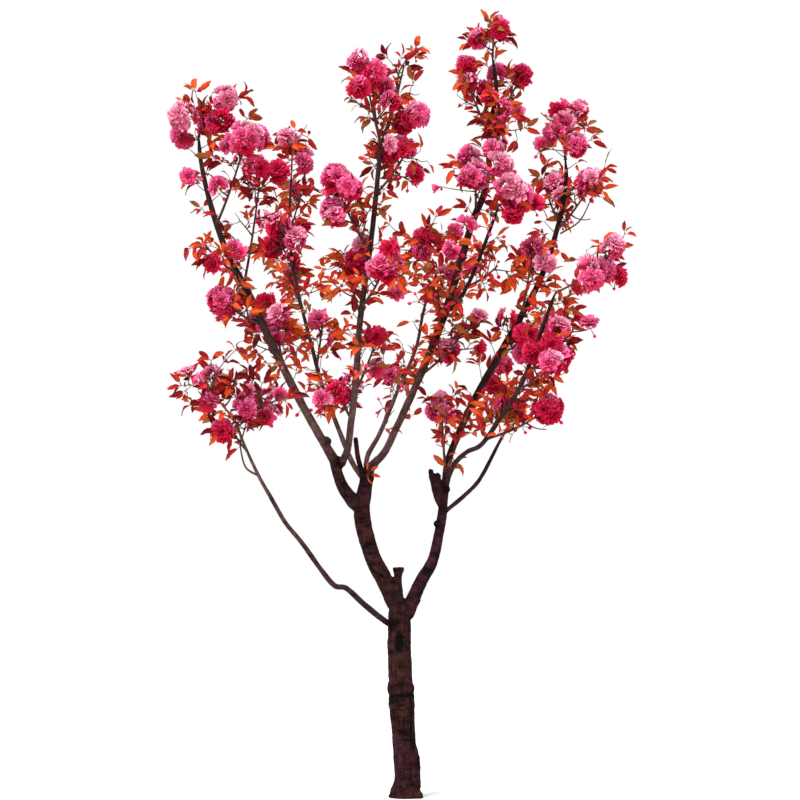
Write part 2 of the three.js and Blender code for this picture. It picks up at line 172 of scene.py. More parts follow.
# Wood: name, depth at the start and the end, and rows of across, up and radius
LIMBS = [
    ("trunk", (0, 0), [
        (0, 0, 52), (0, 20, 45), (1, 52, 40), (-4, 115, 36), (-10, 190, 35.5), (-15, 258, 37),
        (-18, 306, 40), (-20, 345, 37), (-22, 430, 36.5), (-23, 508, 36.5), (-25, 550, 31),
        (-27, 590, 19), (-28, 632, 14.5), (-27, 664, 14), (-26, 676, 16.5), (-26, 686, 15.5)]),
    ("left_bough", (0, -12), [
        (-8, 528, 23), (-48, 612, 26), (-105, 723, 24), (-135, 846, 25), (-121, 950, 20)]),
    ("right_bough", (0, 14), [
        (-9, 519, 18), (8, 570, 21), (40, 640, 20), (76, 704, 16.5), (95, 785, 15.5),
        (106, 850, 14.5), (113, 930, 12.5)]),
    ("far_left_bough", (-8, -150), [
        (-134, 855, 18), (-170, 912, 18), (-206, 987, 16), (-246, 1053, 13.5), (-321, 1185, 12),
        (-399, 1341, 12), (-471, 1497, 10.5), (-543, 1635, 9.5), (-594, 1785, 8),
        (-621, 1905, 6.5), (-630, 1989, 5)]),
    ("tall_bough", (-10, 190), [
        (-121, 930, 15), (-108, 985, 13), (-69, 1029, 11.5), (-36, 1095, 11), (51, 1287, 11),
        (108, 1431, 12), (156, 1581, 11), (198, 1728, 11), (237, 1827, 10), (255, 2034, 8),
        (270, 2121, 6.5), (258, 2232, 4.5)]),
    ("upright_bough", (-35, -340), [
        (-205, 985, 11), (-180, 1035, 11), (-168, 1122, 10.5), (-155, 1236, 10), (-140, 1437, 9),
        (-108, 1671, 8), (-90, 1842, 7.5), (-78, 1971, 6)]),
    ("inner_left_bough", (-10, 460), [
        (-125, 945, 9), (-162, 996, 8.5), (-195, 1074, 7.5), (-258, 1242, 6.5), (-288, 1356, 6),
        (-325, 1503, 5), (-354, 1680, 4), (-348, 1890, 3.2)]),
    ("cut_spur", (-12, -20), [
        (-128, 952, 8.5), (-146, 1010, 7.5), (-154, 1068, 7.5), (-155, 1076, 6)]),
    ("slender_bough", (-10, 500), [
        (-122, 958, 8), (-118, 1020, 8), (-81, 1089, 7), (-21, 1233, 6), (27, 1344, 5.5),
        (54, 1473, 4.5), (96, 1590, 4)]),
    ("tall_bough_fork", (124, -260), [
        (114, 1450, 6), (156, 1488, 6), (198, 1566, 5.5), (249, 1698, 5), (279, 1782, 4)]),
    ("far_right_bough", (14, 330), [
        (112, 915, 12), (124, 1005, 11), (156, 1089, 11), (217, 1215, 12), (330, 1416, 10.5),
        (402, 1554, 9.5), (450, 1695, 8), (480, 1839, 6.5), (478, 1920, 5)]),
    ("broken_stub", (10, -6), [
        (102, 862, 9), (87, 918, 13), (77, 960, 11), (70, 980, 3)]),
    ("right_side_bough", (14, -420), [
        (114, 925, 8), (141, 993, 7.5), (180, 1032, 7), (222, 1053, 7), (285, 1140, 7),
        (343, 1233, 7), (393, 1365, 6.5), (435, 1482, 5), (450, 1518, 4)]),
    ("low_right_bough", (10, 420), [
        (104, 845, 7), (171, 900, 6.5), (219, 951, 6.5), (270, 1047, 5.5), (306, 1116, 4)]),
    ("low_left_bough", (0, -370), [
        (-20, 505, 10), (-57, 519, 9.5), (-126, 573, 9), (-183, 624, 8), (-216, 631, 8),
        (-252, 672, 7.5), (-315, 759, 7), (-366, 822, 6.5), (-411, 900, 6), (-444, 958, 5),
        (-492, 1062, 4), (-520, 1140, 3.5)]),
]

# Foliage: where the heart of a mass lies (across, up, back), its spread, blossom balls and leaves
MASSES = {
    "far_left_bough": [
        (-543, 1479, -140, 95, 3, 6), (-396, 1434, -20, 100, 3, 6), (-618, 1668, -200, 80, 1, 6),
        (-612, 2061, -150, 105, 4, 6), (-489, 1968, -220, 85, 4, 3), (-447, 1824, -40, 110, 3, 6)],
    "inner_left_bough": [
        (-387, 1677, 400, 100, 4, 6), (-321, 1812, 540, 90, 2, 6), (-345, 1968, 460, 80, 3, 6),
        (-255, 1413, 320, 85, 2, 6), (-351, 1572, 530, 100, 2, 6)],
    "upright_bough": [
        (-93, 1368, -170, 75, 2, 6), (-207, 1212, -200, 85, 3, 6), (-63, 1593, -370, 85, 3, 6),
        (-183, 1602, -240, 95, 3, 6), (-207, 1824, -350, 85, 4, 4), (-3, 1938, -290, 110, 4, 6),
        (-123, 2166, -380, 85, 4, 6), (-9, 2202, -270, 75, 2, 6)],
    "slender_bough": [
        (39, 1647, 470, 110, 4, 8), (-27, 1272, 430, 80, 2, 6)],
    "tall_bough": [
        (168, 1389, 50, 100, 3, 6), (90, 1563, 230, 90, 2, 6), (207, 1893, 100, 100, 4, 6),
        (306, 2058, 110, 85, 2, 6), (345, 2172, 260, 85, 2, 6), (180, 2160, 220, 85, 3, 6),
        (262, 2285, 185, 70, 3, 6)],
    "tall_bough_fork": [
        (324, 1803, -280, 85, 4, 4), (273, 1593, -150, 100, 1, 8)],
    "far_right_bough": [
        (102, 1191, 60, 78, 2, 4), (369, 1383, 200, 100, 3, 6), (378, 1638, 180, 80, 3, 6),
        (417, 1833, 380, 80, 3, 6), (555, 1842, 290, 85, 3, 6), (474, 2034, 330, 100, 4, 6)],
    "right_side_bough": [
        (420, 1161, -290, 70, 3, 3), (447, 1305, -420, 85, 4, 6), (483, 1428, -370, 90, 3, 6),
        (612, 1626, -440, 90, 3, 6), (294, 1182, -240, 90, 2, 6)],
    "low_right_bough": [
        (279, 1194, 430, 90, 2, 6)],
    "low_left_bough": [
        (-528, 1104, -320, 75, 3, 3), (-603, 1242, -420, 105, 4, 6), (-435, 1188, -330, 105, 4, 6)],
}

# Blossom clusters that stand out, listed along each bough: across, up, width and tint
CLUSTERS = [
    # Far left bough
    (-690, 2040, 90, "pale"), (-685, 1980, 65, "mid"), (-545, 2105, 80, "pale"), (-590, 2030, 70, "mid"),
    (-550, 2030, 70, "deep"), (-490, 1975, 120, "mid"), (-440, 1985, 70, "mid"), (-545, 1945, 50, "mid"),
    (-450, 1890, 85, "deep"), (-670, 1865, 40, "mid"), (-590, 1600, 55, "mid"), (-570, 1490, 80, "mid"),
    (-465, 1425, 60, "mid"), (-410, 1375, 60, "mid"), (-425, 1485, 55, "deep"),
    # Inner left bough
    (-365, 1985, 60, "pale"), (-300, 1910, 45, "pale"), (-385, 1880, 70, "deep"), (-350, 1825, 50, "mid"),
    (-450, 1735, 45, "mid"), (-395, 1715, 90, "mid"), (-330, 1670, 75, "mid"), (-405, 1650, 70, "deep"),
    (-350, 1610, 50, "deep"), (-270, 1430, 65, "mid"), (-230, 1370, 40, "mid"), (-250, 1190, 55, "mid"),
    # Upright bough
    (-150, 2220, 60, "pale"), (-105, 2185, 85, "mid"), (-70, 2140, 50, "mid"), (-150, 2135, 60, "deep"),
    (30, 2045, 85, "mid"), (-10, 2015, 60, "deep"), (-30, 1945, 90, "deep"), (-75, 1930, 55, "deep"),
    (-215, 1860, 100, "mid"), (-170, 1830, 70, "deep"), (-225, 1765, 80, "mid"), (-85, 1590, 80, "mid"),
    (-55, 1560, 55, "deep"), (-45, 1665, 45, "deep"), (-100, 1380, 65, "deep"), (-175, 1235, 60, "mid"),
    # Slender bough
    (50, 1675, 65, "deep"), (95, 1660, 50, "deep"), (30, 1865, 50, "deep"), (85, 1830, 40, "mid"),
    (-60, 1255, 60, "mid"),
    # Tall bough and its fork
    (215, 2280, 50, "deep"), (180, 2205, 70, "mid"), (265, 2175, 60, "mid"), (345, 2170, 65, "mid"),
    (295, 2070, 50, "mid"), (260, 1950, 60, "mid"), (185, 1925, 70, "mid"), (285, 1900, 80, "pale"),
    (220, 1860, 75, "pale"), (300, 1840, 80, "pale"), (350, 1810, 70, "mid"), (335, 1780, 60, "mid"),
    (320, 1740, 60, "deep"), (150, 1690, 55, "deep"), (125, 1565, 50, "mid"), (190, 1575, 45, "mid"),
    (220, 1435, 50, "mid"), (130, 1335, 70, "mid"),
    # Far right bough
    (460, 2070, 60, "mid"), (525, 2065, 60, "mid"), (475, 2025, 70, "pale"), (440, 1995, 80, "mid"),
    (515, 1955, 80, "mid"), (400, 1950, 50, "mid"), (455, 1840, 75, "mid"), (550, 1850, 90, "mid"),
    (585, 1815, 45, "mid"), (380, 1645, 80, "mid"), (425, 1600, 65, "pale"), (340, 1385, 65, "deep"),
    (75, 1150, 50, "mid"), (120, 1145, 50, "mid"),
    # Right side bough
    (630, 1650, 70, "pale"), (545, 1600, 50, "pale"), (590, 1580, 75, "mid"), (530, 1530, 45, "mid"),
    (445, 1425, 60, "mid"), (500, 1430, 50, "deep"), (430, 1365, 60, "deep"), (440, 1305, 75, "mid"),
    (475, 1315, 60, "mid"), (350, 1315, 65, "mid"), (285, 1300, 75, "deep"), (260, 1235, 50, "deep"),
    (425, 1160, 95, "deep"),
    # Low left bough
    (-660, 1270, 45, "pale"), (-590, 1260, 70, "pale"), (-480, 1165, 70, "mid"), (-440, 1195, 60, "mid"),
    (-390, 1205, 50, "mid"), (-420, 1150, 70, "mid"), (-550, 1100, 70, "deep"), (-600, 1180, 50, "deep"),
]

# Leaf sprays that stand out: across, up and the number of leaves
SPRAYS = [
    (-485, 2110, 8), (-480, 2040, 9), (-340, 1930, 10), (-590, 1920, 9), (-470, 1820, 12), (-340, 1780, 10),
    (-540, 1850, 7), (-450, 1640, 9), (-350, 1530, 12), (-380, 1420, 10), (-350, 1395, 9), (-510, 1340, 9),
    (-590, 1310, 9), (-480, 1260, 14), (-540, 1230, 14), (-580, 1210, 12), (-600, 1150, 10), (-200, 1390, 9),
    (-190, 1620, 10), (-160, 1580, 10), (-60, 1715, 9), (-40, 1860, 8), (-140, 1770, 8), (-125, 2040, 8),
    (-25, 2110, 8), (30, 2230, 9), (-60, 1385, 8), (20, 1570, 9), (80, 1510, 12), (150, 1510, 10),
    (90, 1740, 10), (110, 1690, 10), (160, 1640, 10), (180, 2270, 6), (150, 2145, 7), (230, 2030, 8),
    (270, 1975, 8), (200, 1400, 12), (100, 1195, 11), (160, 1205, 8), (180, 1120, 9), (240, 1640, 8),
    (310, 1550, 8), (330, 1610, 10), (440, 1830, 10), (470, 1740, 10), (560, 1970, 7), (600, 1890, 6),
    (660, 1690, 6), (490, 1460, 8), (410, 1400, 10), (480, 1365, 10), (330, 1240, 11), (390, 1240, 10),
    (290, 1200, 11), (300, 1150, 10), (310, 1110, 8),
]

# Gaps where the sky shows through the crown: across, up and radius
SKY = np.array([
    (-280, 2100, 90), (-230, 2010, 60), (-420, 2110, 50), (-535, 1770, 40), (-500, 1690, 35),
    (-680, 1690, 50), (-650, 1540, 50), (-620, 1400, 60), (-370, 1080, 70), (-300, 1130, 35),
    (-470, 1065, 30), (-265, 1475, 22),
    (-440, 1560, 25), (-60, 1440, 40), (0, 1460, 40), (-30, 1770, 30), (60, 1930, 35), (90, 2120, 55),
    (110, 2250, 35), (120, 2050, 40), (90, 1250, 45), (190, 1240, 25), (-20, 1190, 25), (30, 1080, 55),
    (-110, 1180, 35), (-120, 1100, 35), (-55, 1315, 22), (280, 1590, 30), (300, 1480, 35), (390, 2090, 50),
    (365, 1930, 40), (560, 1740, 60), (520, 1660, 40), (620, 1500, 45), (565, 1370, 45), (530, 1240, 45),
    (370, 1080, 40), (430, 1070, 35), (200, 1040, 30), (390, 1755, 22),
], float)

# Single shoots that show: rows of across, up and back, the radii, and the leaves at the tip
SHOOTS = [
    ([(-447, 961, -357), (-483, 984, -352), (-499, 1040, -345), (-501, 1068, -340)], (3.4, 1.9), 3),
    ([(-567, 1728, -140), (-534, 1824, -170), (-498, 1923, -205)], (1.4, 0.9), 2),
    ([(-79, 1966, -338), (-93, 2028, -350), (-99, 2088, -362), (-105, 2136, -370)], (4.2, 2.4), 2),
    ([(-79, 1962, -338), (-57, 2028, -325), (-30, 2139, -305), (-21, 2187, -295), (24, 2250, -285)],
     (4.4, 1.8), 5),
    ([(-118, 948, -20), (-121, 960, -36), (-117, 968, -44)], (2.2, 1.4), 4),
    ([(462, 1690, 318), (520, 1728, 300), (560, 1806, 290)], (3.0, 1.8), 3),
]

# Marks on the wood: place across, back and up, their reach, how far they stand out, how dark they are
MARKS = [
    ((36, -10, 108), (26, 30), 5.0, 1.0), ((-23, -38, 466), (17, 32), -2.5, 1.8),
    ((36, -6, 582), (13, 12), 5.0, 0.6), ((88, 2, 816), (17, 15), 0.0, 1.5),
    ((118, 2, 918), (15, 16), 3.0, 1.0), ((-236, -86, 1062), (18, 16), 0.0, 0.8),
    ((-207, -58, 1000), (20, 15), 0.0, 1.2),
    ((-30, 34, 400), (20, 16), 4.0, 0.6), ((-58, 12, 200), (14, 18), 3.0, 0.5),
    ((-46, -42, 520), (30, 22), 0.0, 0.8), ((-150, -34, 790), (14, 16), 3.5, 0.6),
    ((-70, -32, 690), (10, 9), 2.6, 0.6),
    ((13, -27, 284), (8, 26), -1.2, 0.9), ((14, -25, 246), (7, 26), -1.2, 1.1),
    ((16, -25, 205), (7, 28), -1.5, 1.2),
    ((18, -25, 162), (9, 26), -1.0, 1.0),
]

# Knots that stand out from the wood: place across, back and up, and radius
KNOTS = [
    (90, 4, 816, 11.5), (-241, -74, 1060, 16.5), (118, 8, 920, 11), (97, 6, 916, 15), (94, 6, 938, 15),
    (90, 5, 956, 12), (-209, -40, 1000, 20),
]


# Sums that the growth rule shares with the source
WORD = 0xFFFFFFFF


class Seeded:
    """A repeatable stream of numbers from 0 to 1."""

    def __init__(self, seed):
        self.state = seed & WORD

    def __call__(self):
        self.state = (self.state + 0x6D2B79F5) & WORD
        mixed = ((self.state ^ (self.state >> 15)) * (1 | self.state)) & WORD
        mixed = (mixed + ((mixed ^ (mixed >> 7)) * (61 | mixed) & WORD) & WORD) ^ mixed
        return ((mixed ^ (mixed >> 14)) & WORD) / (WORD + 1)

    def between(self, limits):
        return between(limits, self())

    def turn(self):
        return 360 * self()

    def pick(self, weights):
        """A name out of a table of names and weights."""
        level = self() * sum(weights.values())
        for name, weight in weights.items():
            level -= weight
            if level < 0:
                return name
        return name


def between(limits, share):
    return limits[0] + (limits[1] - limits[0]) * share


def ramp(value, low, high):
    """A share that rises from 0 to 1 between two values."""
    return np.clip((value - low) / (high - low), 0, 1)


def unit(v):
    return v / np.linalg.norm(v)


def row_lengths(rows):
    return np.linalg.norm(rows, axis=1)


def unit_rows(rows):
    return rows / row_lengths(rows)[:, None]


def running(steps):
    """The sum of the steps up to each point."""
    return np.concatenate([[0], np.cumsum(steps)])


def lengths_along(points):
    return running(row_lengths(np.diff(points, axis=0)))


def seen(across, up, back):
    """The point that lies `back` behind the trunk and is seen at (across, up) beside it."""
    grow = (EYE_DISTANCE + back) / EYE_DISTANCE
    return np.stack([across * grow, back + 0.0 * across, EYE_HEIGHT + (up - EYE_HEIGHT) * grow], -1)


def as_seen(point):
    """How far across and up a point is seen from the front."""
    grow = (EYE_DISTANCE + point[1]) / EYE_DISTANCE
    return np.array([point[0] / grow, EYE_HEIGHT + (point[2] - EYE_HEIGHT) / grow])


def square_to(axis):
    side = unit(np.cross(axis, ACROSS if abs(axis[2]) > 0.95 else UP))
    return side, np.cross(side, axis)


def leaning(axis, lean, turn):
    """A direction that leans off an axis and is turned about it, in degrees."""
    side, other = square_to(axis)
    tilt, spin = math.radians(lean), math.radians(turn)
    return axis * math.cos(tilt) + (side * math.cos(spin) + other * math.sin(spin)) * math.sin(tilt)


def smooth_line(knots):
    """A smooth line through the knots."""
    ends = np.vstack([2 * knots[0] - knots[1], knots, 2 * knots[-1] - knots[-2]])
    t = np.linspace(0, 1, FINE, endpoint=False)[:, None]
    line = []
    for p0, p1, p2, p3 in zip(ends, ends[1:], ends[2:], ends[3:]):
        a, b, c = (math.sqrt(np.linalg.norm(q - p)) for p, q in ((p0, p1), (p1, p2), (p2, p3)))
        leave = ((p1 - p0) / a - (p2 - p0) / (a + b) + (p2 - p1) / b) * b
        arrive = ((p2 - p1) / b - (p3 - p1) / (b + c) + (p3 - p2) / c) * b
        square, cube = 3 * (p2 - p1) - 2 * leave - arrive, 2 * (p1 - p2) + leave + arrive
        line.append(p1 + leave * t + square * t ** 2 + cube * t ** 3)
    return np.vstack(line + [knots[-1:]])


class Limb:
    """One tapering limb: its centre line, radii and lengths along it."""

    def __init__(self, name, depth, path):
        rows = np.array(path, float)
        ease = np.sin(np.linspace(0, np.pi / 2, len(rows)))
        self.name = name
        self.points = smooth_line(seen(rows[:, 0], rows[:, 1], between(depth, ease)))
        self.radii = np.interp(np.arange(len(self.points)) / FINE, np.arange(len(rows)), rows[:, 2])
        self.along = lengths_along(self.points)
        self.length = self.along[-1]
        self.feet = []

    def at(self, along):
        return np.stack([np.interp(along, self.along, self.points[:, k]) for k in range(3)], -1)

    def radius(self, along):
        return np.interp(along, self.along, self.radii)

    def ahead(self, along):
        return unit(self.at(along + 4) - self.at(along - 4))


def foot_on(limb, heart):
    """Where a stem leaves its limb: a little below the nearest point, clear of the stems before it."""
    stations = np.linspace(0, limb.length, FOOT_STEPS + 1)
    gaps = row_lengths(limb.at(stations) - heart)
    nearest = int(np.argmin(gaps))
    setback = STEM_SPACING / 4 if nearest == FOOT_STEPS else gaps[nearest] * STEM_SETBACK
    along = max(stations[nearest] - setback, STEM_SPACING)
    while any(abs(other - along) < STEM_SPACING for other in limb.feet):
        along -= 1
    limb.feet.append(along)
    return limb.at(along)


def plan_mass(limb, row, seed):
    """Stem, twigs, blossom and leaves of one mass, turned about the stem by the golden angle."""
    across, up, back, spread, blossoms, leaves = row
    random = Seeded(seed)
    heart = seen(float(across), float(up), float(back))
    foot = foot_on(limb, heart)
    girth = min(STEM_RADII[0], STEM_GIRTH * limb.radius(limb.feet[-1]))
    bend = foot + (heart - foot) * STEM_BEND - UP * STEM_SAG * np.linalg.norm(heart - foot)
    share = np.linspace(0, 1, STEM_POINTS)[:, None]
    stem = foot * (1 - share) ** 2 + 2 * bend * share * (1 - share) + heart * share ** 2
    middle = stem[STEM_POINTS // 2]
    leafy = math.ceil(leaves / LEAVES_PER_TWIG)
    count = blossoms - 1 + leafy
    phase = random.turn()
    twigs, leaf_twigs, flowering = [], [], [(heart, unit(heart - middle))]
    for k in range(count):
        bears_leaves = (k + 1) * leafy // count > k * leafy // count
        place = TWIG_SPAN[0] + (TWIG_SPAN[1] - TWIG_SPAN[0]) * (k + 0.5) / count
        along = unit(middle - foot) if place < 0.5 else unit(heart - middle)
        root = np.array([np.interp(place, share[:, 0], stem[:, c]) for c in range(3)])
        axis = leaning(along, random.between(TWIG_LEAN), phase + k * GOLDEN_ANGLE)
        axis = unit(axis + UP * TWIG_LIFT)
        length = spread * random.between(TWIG_LENGTH) * (LEAFY_TWIG if bears_leaves else 1)
        tip = root + axis * length
        twigs.append((root, tip, axis))
        if bears_leaves:
            leaf_twigs.append((root, tip, axis))
        else:
            flowering.append((tip, axis))
    # The source draws once more for each ball's turn and each leaf's roll, so the stream skips those
    balls, blades = [], []
    for centre, axis in flowering:
        balls.append((centre, axis, BLOSSOM_RADIUS * random.between(BLOSSOM_SIZES)))
        random()
    for k in range(leaves):
        root, tip, axis = leaf_twigs[k // LEAVES_PER_TWIG]
        place = k % LEAVES_PER_TWIG
        out = leaning(axis, random.between(LEAF_LEAN) * LEAF_SPLAY[place], phase + k * GOLDEN_ANGLE)
        length = LEAF_LENGTH * random.between(LEAF_SIZES)
        random()
        blades.append((root + (tip - root) * LEAF_STATIONS[place], unit(out - UP * LEAF_DROOP), length))
    return {"limb": limb, "row": row, "seed": seed, "girth": girth, "stem": stem,
            "twigs": twigs, "balls": balls, "blades": blades}


# Mesh pieces gathered from arrays
class Heap:
    """Vertices, faces and values at the vertices that become mesh pieces of limited size."""

    def __init__(self):
        self.verts, self.faces, self.marks = [], [], []

    def add(self, verts, faces, marks):
        self.verts.append(verts)
        self.faces.append(faces)
        self.marks.append(marks)

    def merged(self, first, last):
        starts = np.cumsum([0] + [len(verts) for verts in self.verts[first:last]])
        faces = [faces + start for faces, start in zip(self.faces[first:last], starts)]
        return np.vstack(self.verts[first:last]), np.vstack(faces), np.vstack(self.marks[first:last])

    def build(self, name, material, attribute):
        """Mesh pieces, each of whole leaves, flowers or shoots."""
        totals = np.cumsum([len(faces) for faces in self.faces])
        cuts = np.searchsorted(totals, np.arange(QUADS_PER_PIECE, totals[-1], QUADS_PER_PIECE))
        cuts = [0] + list(cuts) + [len(self.faces)]
        pieces = []
        for number, (first, last) in enumerate(zip(cuts, cuts[1:])):
            verts, faces, marks = self.merged(first, last)
            mesh = bpy.data.meshes.new(f"{name}_{number + 1}")
            mesh.vertices.add(len(verts))
            mesh.vertices.foreach_set("co", (verts * MM).astype(np.float32).ravel())
            mesh.loops.add(faces.size)
            mesh.loops.foreach_set("vertex_index", faces.astype(np.int32).ravel())
            mesh.polygons.add(len(faces))
            mesh.polygons.foreach_set("loop_start", np.arange(0, faces.size, 4, dtype=np.int32))
            mesh.polygons.foreach_set("use_smooth", np.ones(len(faces), bool))
            mesh.update(calc_edges=True)
            put_values(mesh, attribute, marks)
            mesh.validate()
            mesh.materials.append(material)
            pieces.append(placed_in_scene(mesh.name, mesh))
        return pieces


def placed_in_scene(name, data):
    thing = bpy.data.objects.new(name, data)
    bpy.context.scene.collection.objects.link(thing)
    return thing


def put_values(mesh, name, values):
    layer = mesh.attributes.new(name, "FLOAT_VECTOR", "POINT")
    layer.data.foreach_set("vector", values.astype(np.float32).ravel())


def tube(points, radii, sides):
    """A swept tube: its vertices, faces, and place round and along it."""
    ahead = unit_rows(np.gradient(points, axis=0))
    side = np.empty_like(ahead)
    side[0] = square_to(ahead[0])[0]
    for k in range(1, len(points)):
        side[k] = unit(side[k - 1] - ahead[k] * side[k - 1].dot(ahead[k]))
    other = np.cross(ahead, side)
    angle = np.arange(sides) * 2 * np.pi / sides
    right, top = np.cos(angle), np.sin(angle)
    ring = right[None, :, None] * side[:, None] + top[None, :, None] * other[:, None]
    verts = points[:, None] + ring * radii[:, None, None]
    places = np.stack(np.broadcast_arrays(
        radii[:, None] * right, radii[:, None] * top, lengths_along(points)[:, None]), -1)
    row, col = np.meshgrid(np.arange(len(points) - 1) * sides, np.arange(sides), indexing="ij")
    after = (col + 1) % sides
    faces = np.stack([row + col, row + after, row + sides + after, row + sides + col], -1)
    return verts.reshape(-1, 3), faces.reshape(-1, 4), places.reshape(-1, 3)


# Templates of a petal, a flower and a bud in millimetres, and of a leaf of unit length
def sheet_faces(rows, cols):
    row, col = np.meshgrid(np.arange(rows - 1), np.arange(cols - 1), indexing="ij")
    first = row * cols + col
    return np.stack([first, first + cols, first + cols + 1, first + 1], -1).reshape(-1, 4)


# A petal runs along from its foot to its rim, and beside its middle from -1 to 1
PETAL_ROWS = np.array([0, 0.4, 0.76, 1.0])
PETAL_COLS = 7
PETAL_FACES = sheet_faces(len(PETAL_ROWS), PETAL_COLS)
PETAL_WIDTHS = ([0, 0.2, 0.45, 0.7, 0.88, 1], [0.12, 0.45, 0.82, 1.0, 0.94, 0.68])
ANY_PHASE = 6.3

# Whorls of a double flower: petals, their length, tilts at the foot and the rim, distance from the axis
WHORLS = [
    (8, 30, 60, 108, 3.2), (8, 29, 46, 86, 3.0), (7, 27, 32, 66, 2.6), (5, 24, 20, 46, 2.0),
    (4, 20, 8, 26, 1.2)]
FLOWER_SIZE = 32
OPENINGS = (1, 1, 1, 0.94, 0.9, 0.55, 0.4)
OPEN_FLOWERS = 5
OPEN_SHARE = 0.88

BUD_SIDES = 10
BUD_BELLY = np.array([0.25, 0.72, 0.97, 1.0, 0.84, 0.5, 0.06])
LEAF_ROWS = np.array([0, 0.1, 0.24, 0.38, 0.52, 0.66, 0.79, 0.91, 1])
LEAF_WIDTHS = np.array([0.04, 0.56, 0.86, 1.0, 0.88, 0.84, 0.5, 0.3, 0.015])
LEAF_COLS = 5
LEAF_FACES = sheet_faces(len(LEAF_ROWS), LEAF_COLS)


def petal(length, width, foot_tilt, rim_tilt, turn, start, random):
    """One ruffled, notched petal that leaves the flower's axis at one tilt and ends at another."""
    along = PETAL_ROWS[:, None]
    beside = np.linspace(-1, 1, PETAL_COLS)[None, :]
    tilt = np.radians(between((foot_tilt, rim_tilt), along ** 1.2))
    frill = 0.03 * np.sin(5 * beside + ANY_PHASE * random()) * along ** 4
    notch = 0.08 * np.exp(-(beside / 0.25) ** 2) * along ** 4
    reach = along * (1 - 0.2 * beside ** 4 * along ** 2 - notch - np.abs(frill))
    steps = np.diff(PETAL_ROWS)
    out = np.interp(reach, PETAL_ROWS, running(steps * np.sin(tilt[1:, 0])))
    rise = np.interp(reach, PETAL_ROWS, running(steps * np.cos(tilt[1:, 0])))
    across = beside * np.interp(along, *PETAL_WIDTHS) * width
    ruffle = 0.06 * np.sin(4.2 * beside + ANY_PHASE * random()) * along ** 2
    ruffle = ruffle + 0.05 * np.sin(7 * beside + ANY_PHASE * random()) * along ** 3
    lift = length * (random.between((0.06, 0.16)) * beside ** 2 * along + ruffle)
    off = start + out * length - np.cos(tilt) * lift
    high = rise * length + np.sin(tilt) * lift
    right, top = math.cos(math.radians(turn)), math.sin(math.radians(turn))
    verts = np.stack([off * right - across * top, off * top + across * right, high + 0 * across], -1)
    marks = np.stack(np.broadcast_arrays(along, beside, random()), -1)
    return verts.reshape(-1, 3), marks.reshape(-1, 3)


def flower_template(seed, opening):
    """A double flower that is open by this share."""
    random = Seeded(seed)
    heap = Heap()
    for level, (count, length, foot_tilt, rim_tilt, start) in enumerate(WHORLS):
        phase = random.turn()
        for k in range(count):
            size = length * random.between((0.9, 1.1))
            width = size * random.between((0.30, 0.39))
            foot = opening * foot_tilt + random.between((-6, 6))
            rim = opening * rim_tilt + random.between((-20, 14))
            turn = phase + (k + random.between((-0.2, 0.2))) * 360 / count
            verts, marks = petal(size, width, foot, rim, turn, start, random)
            # Inner whorls lean deeper: partly the flower's own deeper heart, partly painted shade inside the
            # flower
            marks[:, 2] = 0.35 * (1 - level / 4) + 0.65 * marks[:, 2]
            heap.add(verts, PETAL_FACES, marks)
    return heap.merged(0, len(heap.verts))


def bud_template(seed):
    """A closed bud: overlapping petals seen as a furrowed drop."""
    random = Seeded(seed)
    rise = np.linspace(0, 1, len(BUD_BELLY))
    belly = BUD_BELLY * random.between((6.2, 7.6))
    points = np.stack([0 * rise, 0 * rise, rise * random.between((15, 19))], -1)
    verts, faces, _ = tube(points, belly, BUD_SIDES)
    angle = np.arctan2(verts[:, 1], verts[:, 0])
    share = np.repeat(rise, BUD_SIDES)
    verts[:, :2] *= (1 + 0.1 * np.sin(3 * angle + 5 * share))[:, None]
    marks = np.stack([0.25 + 0.5 * share, np.sin(3 * angle), np.full(len(verts), random())], -1)
    return verts, faces, marks


def leaf_template(seed):
    """A pointed, toothed young leaf of unit length, folded along its midrib and curling down."""
    random = Seeded(seed)
    along = LEAF_ROWS[:, None]
    beside = np.linspace(-1, 1, LEAF_COLS)[None, :]
    curl = math.radians(random.between((15, 75)))
    fold, twist = random.between((0.15, 0.7)), math.radians(random.between((-35, 35)))
    bend = curl * (along - 0.25)
    steps = np.diff(LEAF_ROWS)
    out = running(steps * np.cos(bend[1:, 0]))[:, None]
    drop = -running(steps * np.sin(bend[1:, 0]))[:, None]
    half = LEAF_WIDTHS[:, None] * random.between((0.15, 0.215))
    across = beside * half
    rise = np.abs(beside) * half * fold + 0.02 * np.sin(13 * along + 6 * random()) * beside ** 2
    turn = twist * along
    side = across * np.cos(turn) - rise * np.sin(turn)
    top = across * np.sin(turn) + rise * np.cos(turn)
    verts = np.stack([out + top * np.sin(bend), side, drop + top * np.cos(bend)], -1).reshape(-1, 3)
    return verts, LEAF_FACES, np.stack(np.broadcast_arrays(along, beside, 0.0), -1).reshape(-1, 3)


FLOWERS = [flower_template(SEED_FLOWER + k, opening) for k, opening in enumerate(OPENINGS)]
BUDS = [bud_template(SEED_BUD + k) for k in range(3)]
LEAVES = [leaf_template(SEED_LEAF + k) for k in range(8)]

# The crown as it grows
limbs = [Limb(*row) for row in LIMBS]
by_name = {limb.name: limb for limb in limbs}
by_index = {limb.name: index for index, limb in enumerate(limbs)}
twig_heap, stalk_heap = Heap(), Heap()
leaf_heaps = {tint: Heap() for tint in LEAF_TINTS}
bloom_heaps = {tint: Heap() for tint in BLOOM_TINTS}
flower_places, shown_clusters, wood_points = [], [], []
limb_samples = np.vstack([limb.at(np.arange(0, limb.length, 8.0)) for limb in limbs])
limb_girths = np.concatenate([limb.radius(np.arange(0, limb.length, 8.0)) for limb in limbs])
room_low = np.array(cad_low) / MM - BOX_SLACK
room_high = np.array(cad_high) / MM + BOX_SLACK


def inside(verts):
    """True if the vertices stay within the tree's reach."""
    return bool(np.all(verts > room_low) and np.all(verts < room_high))


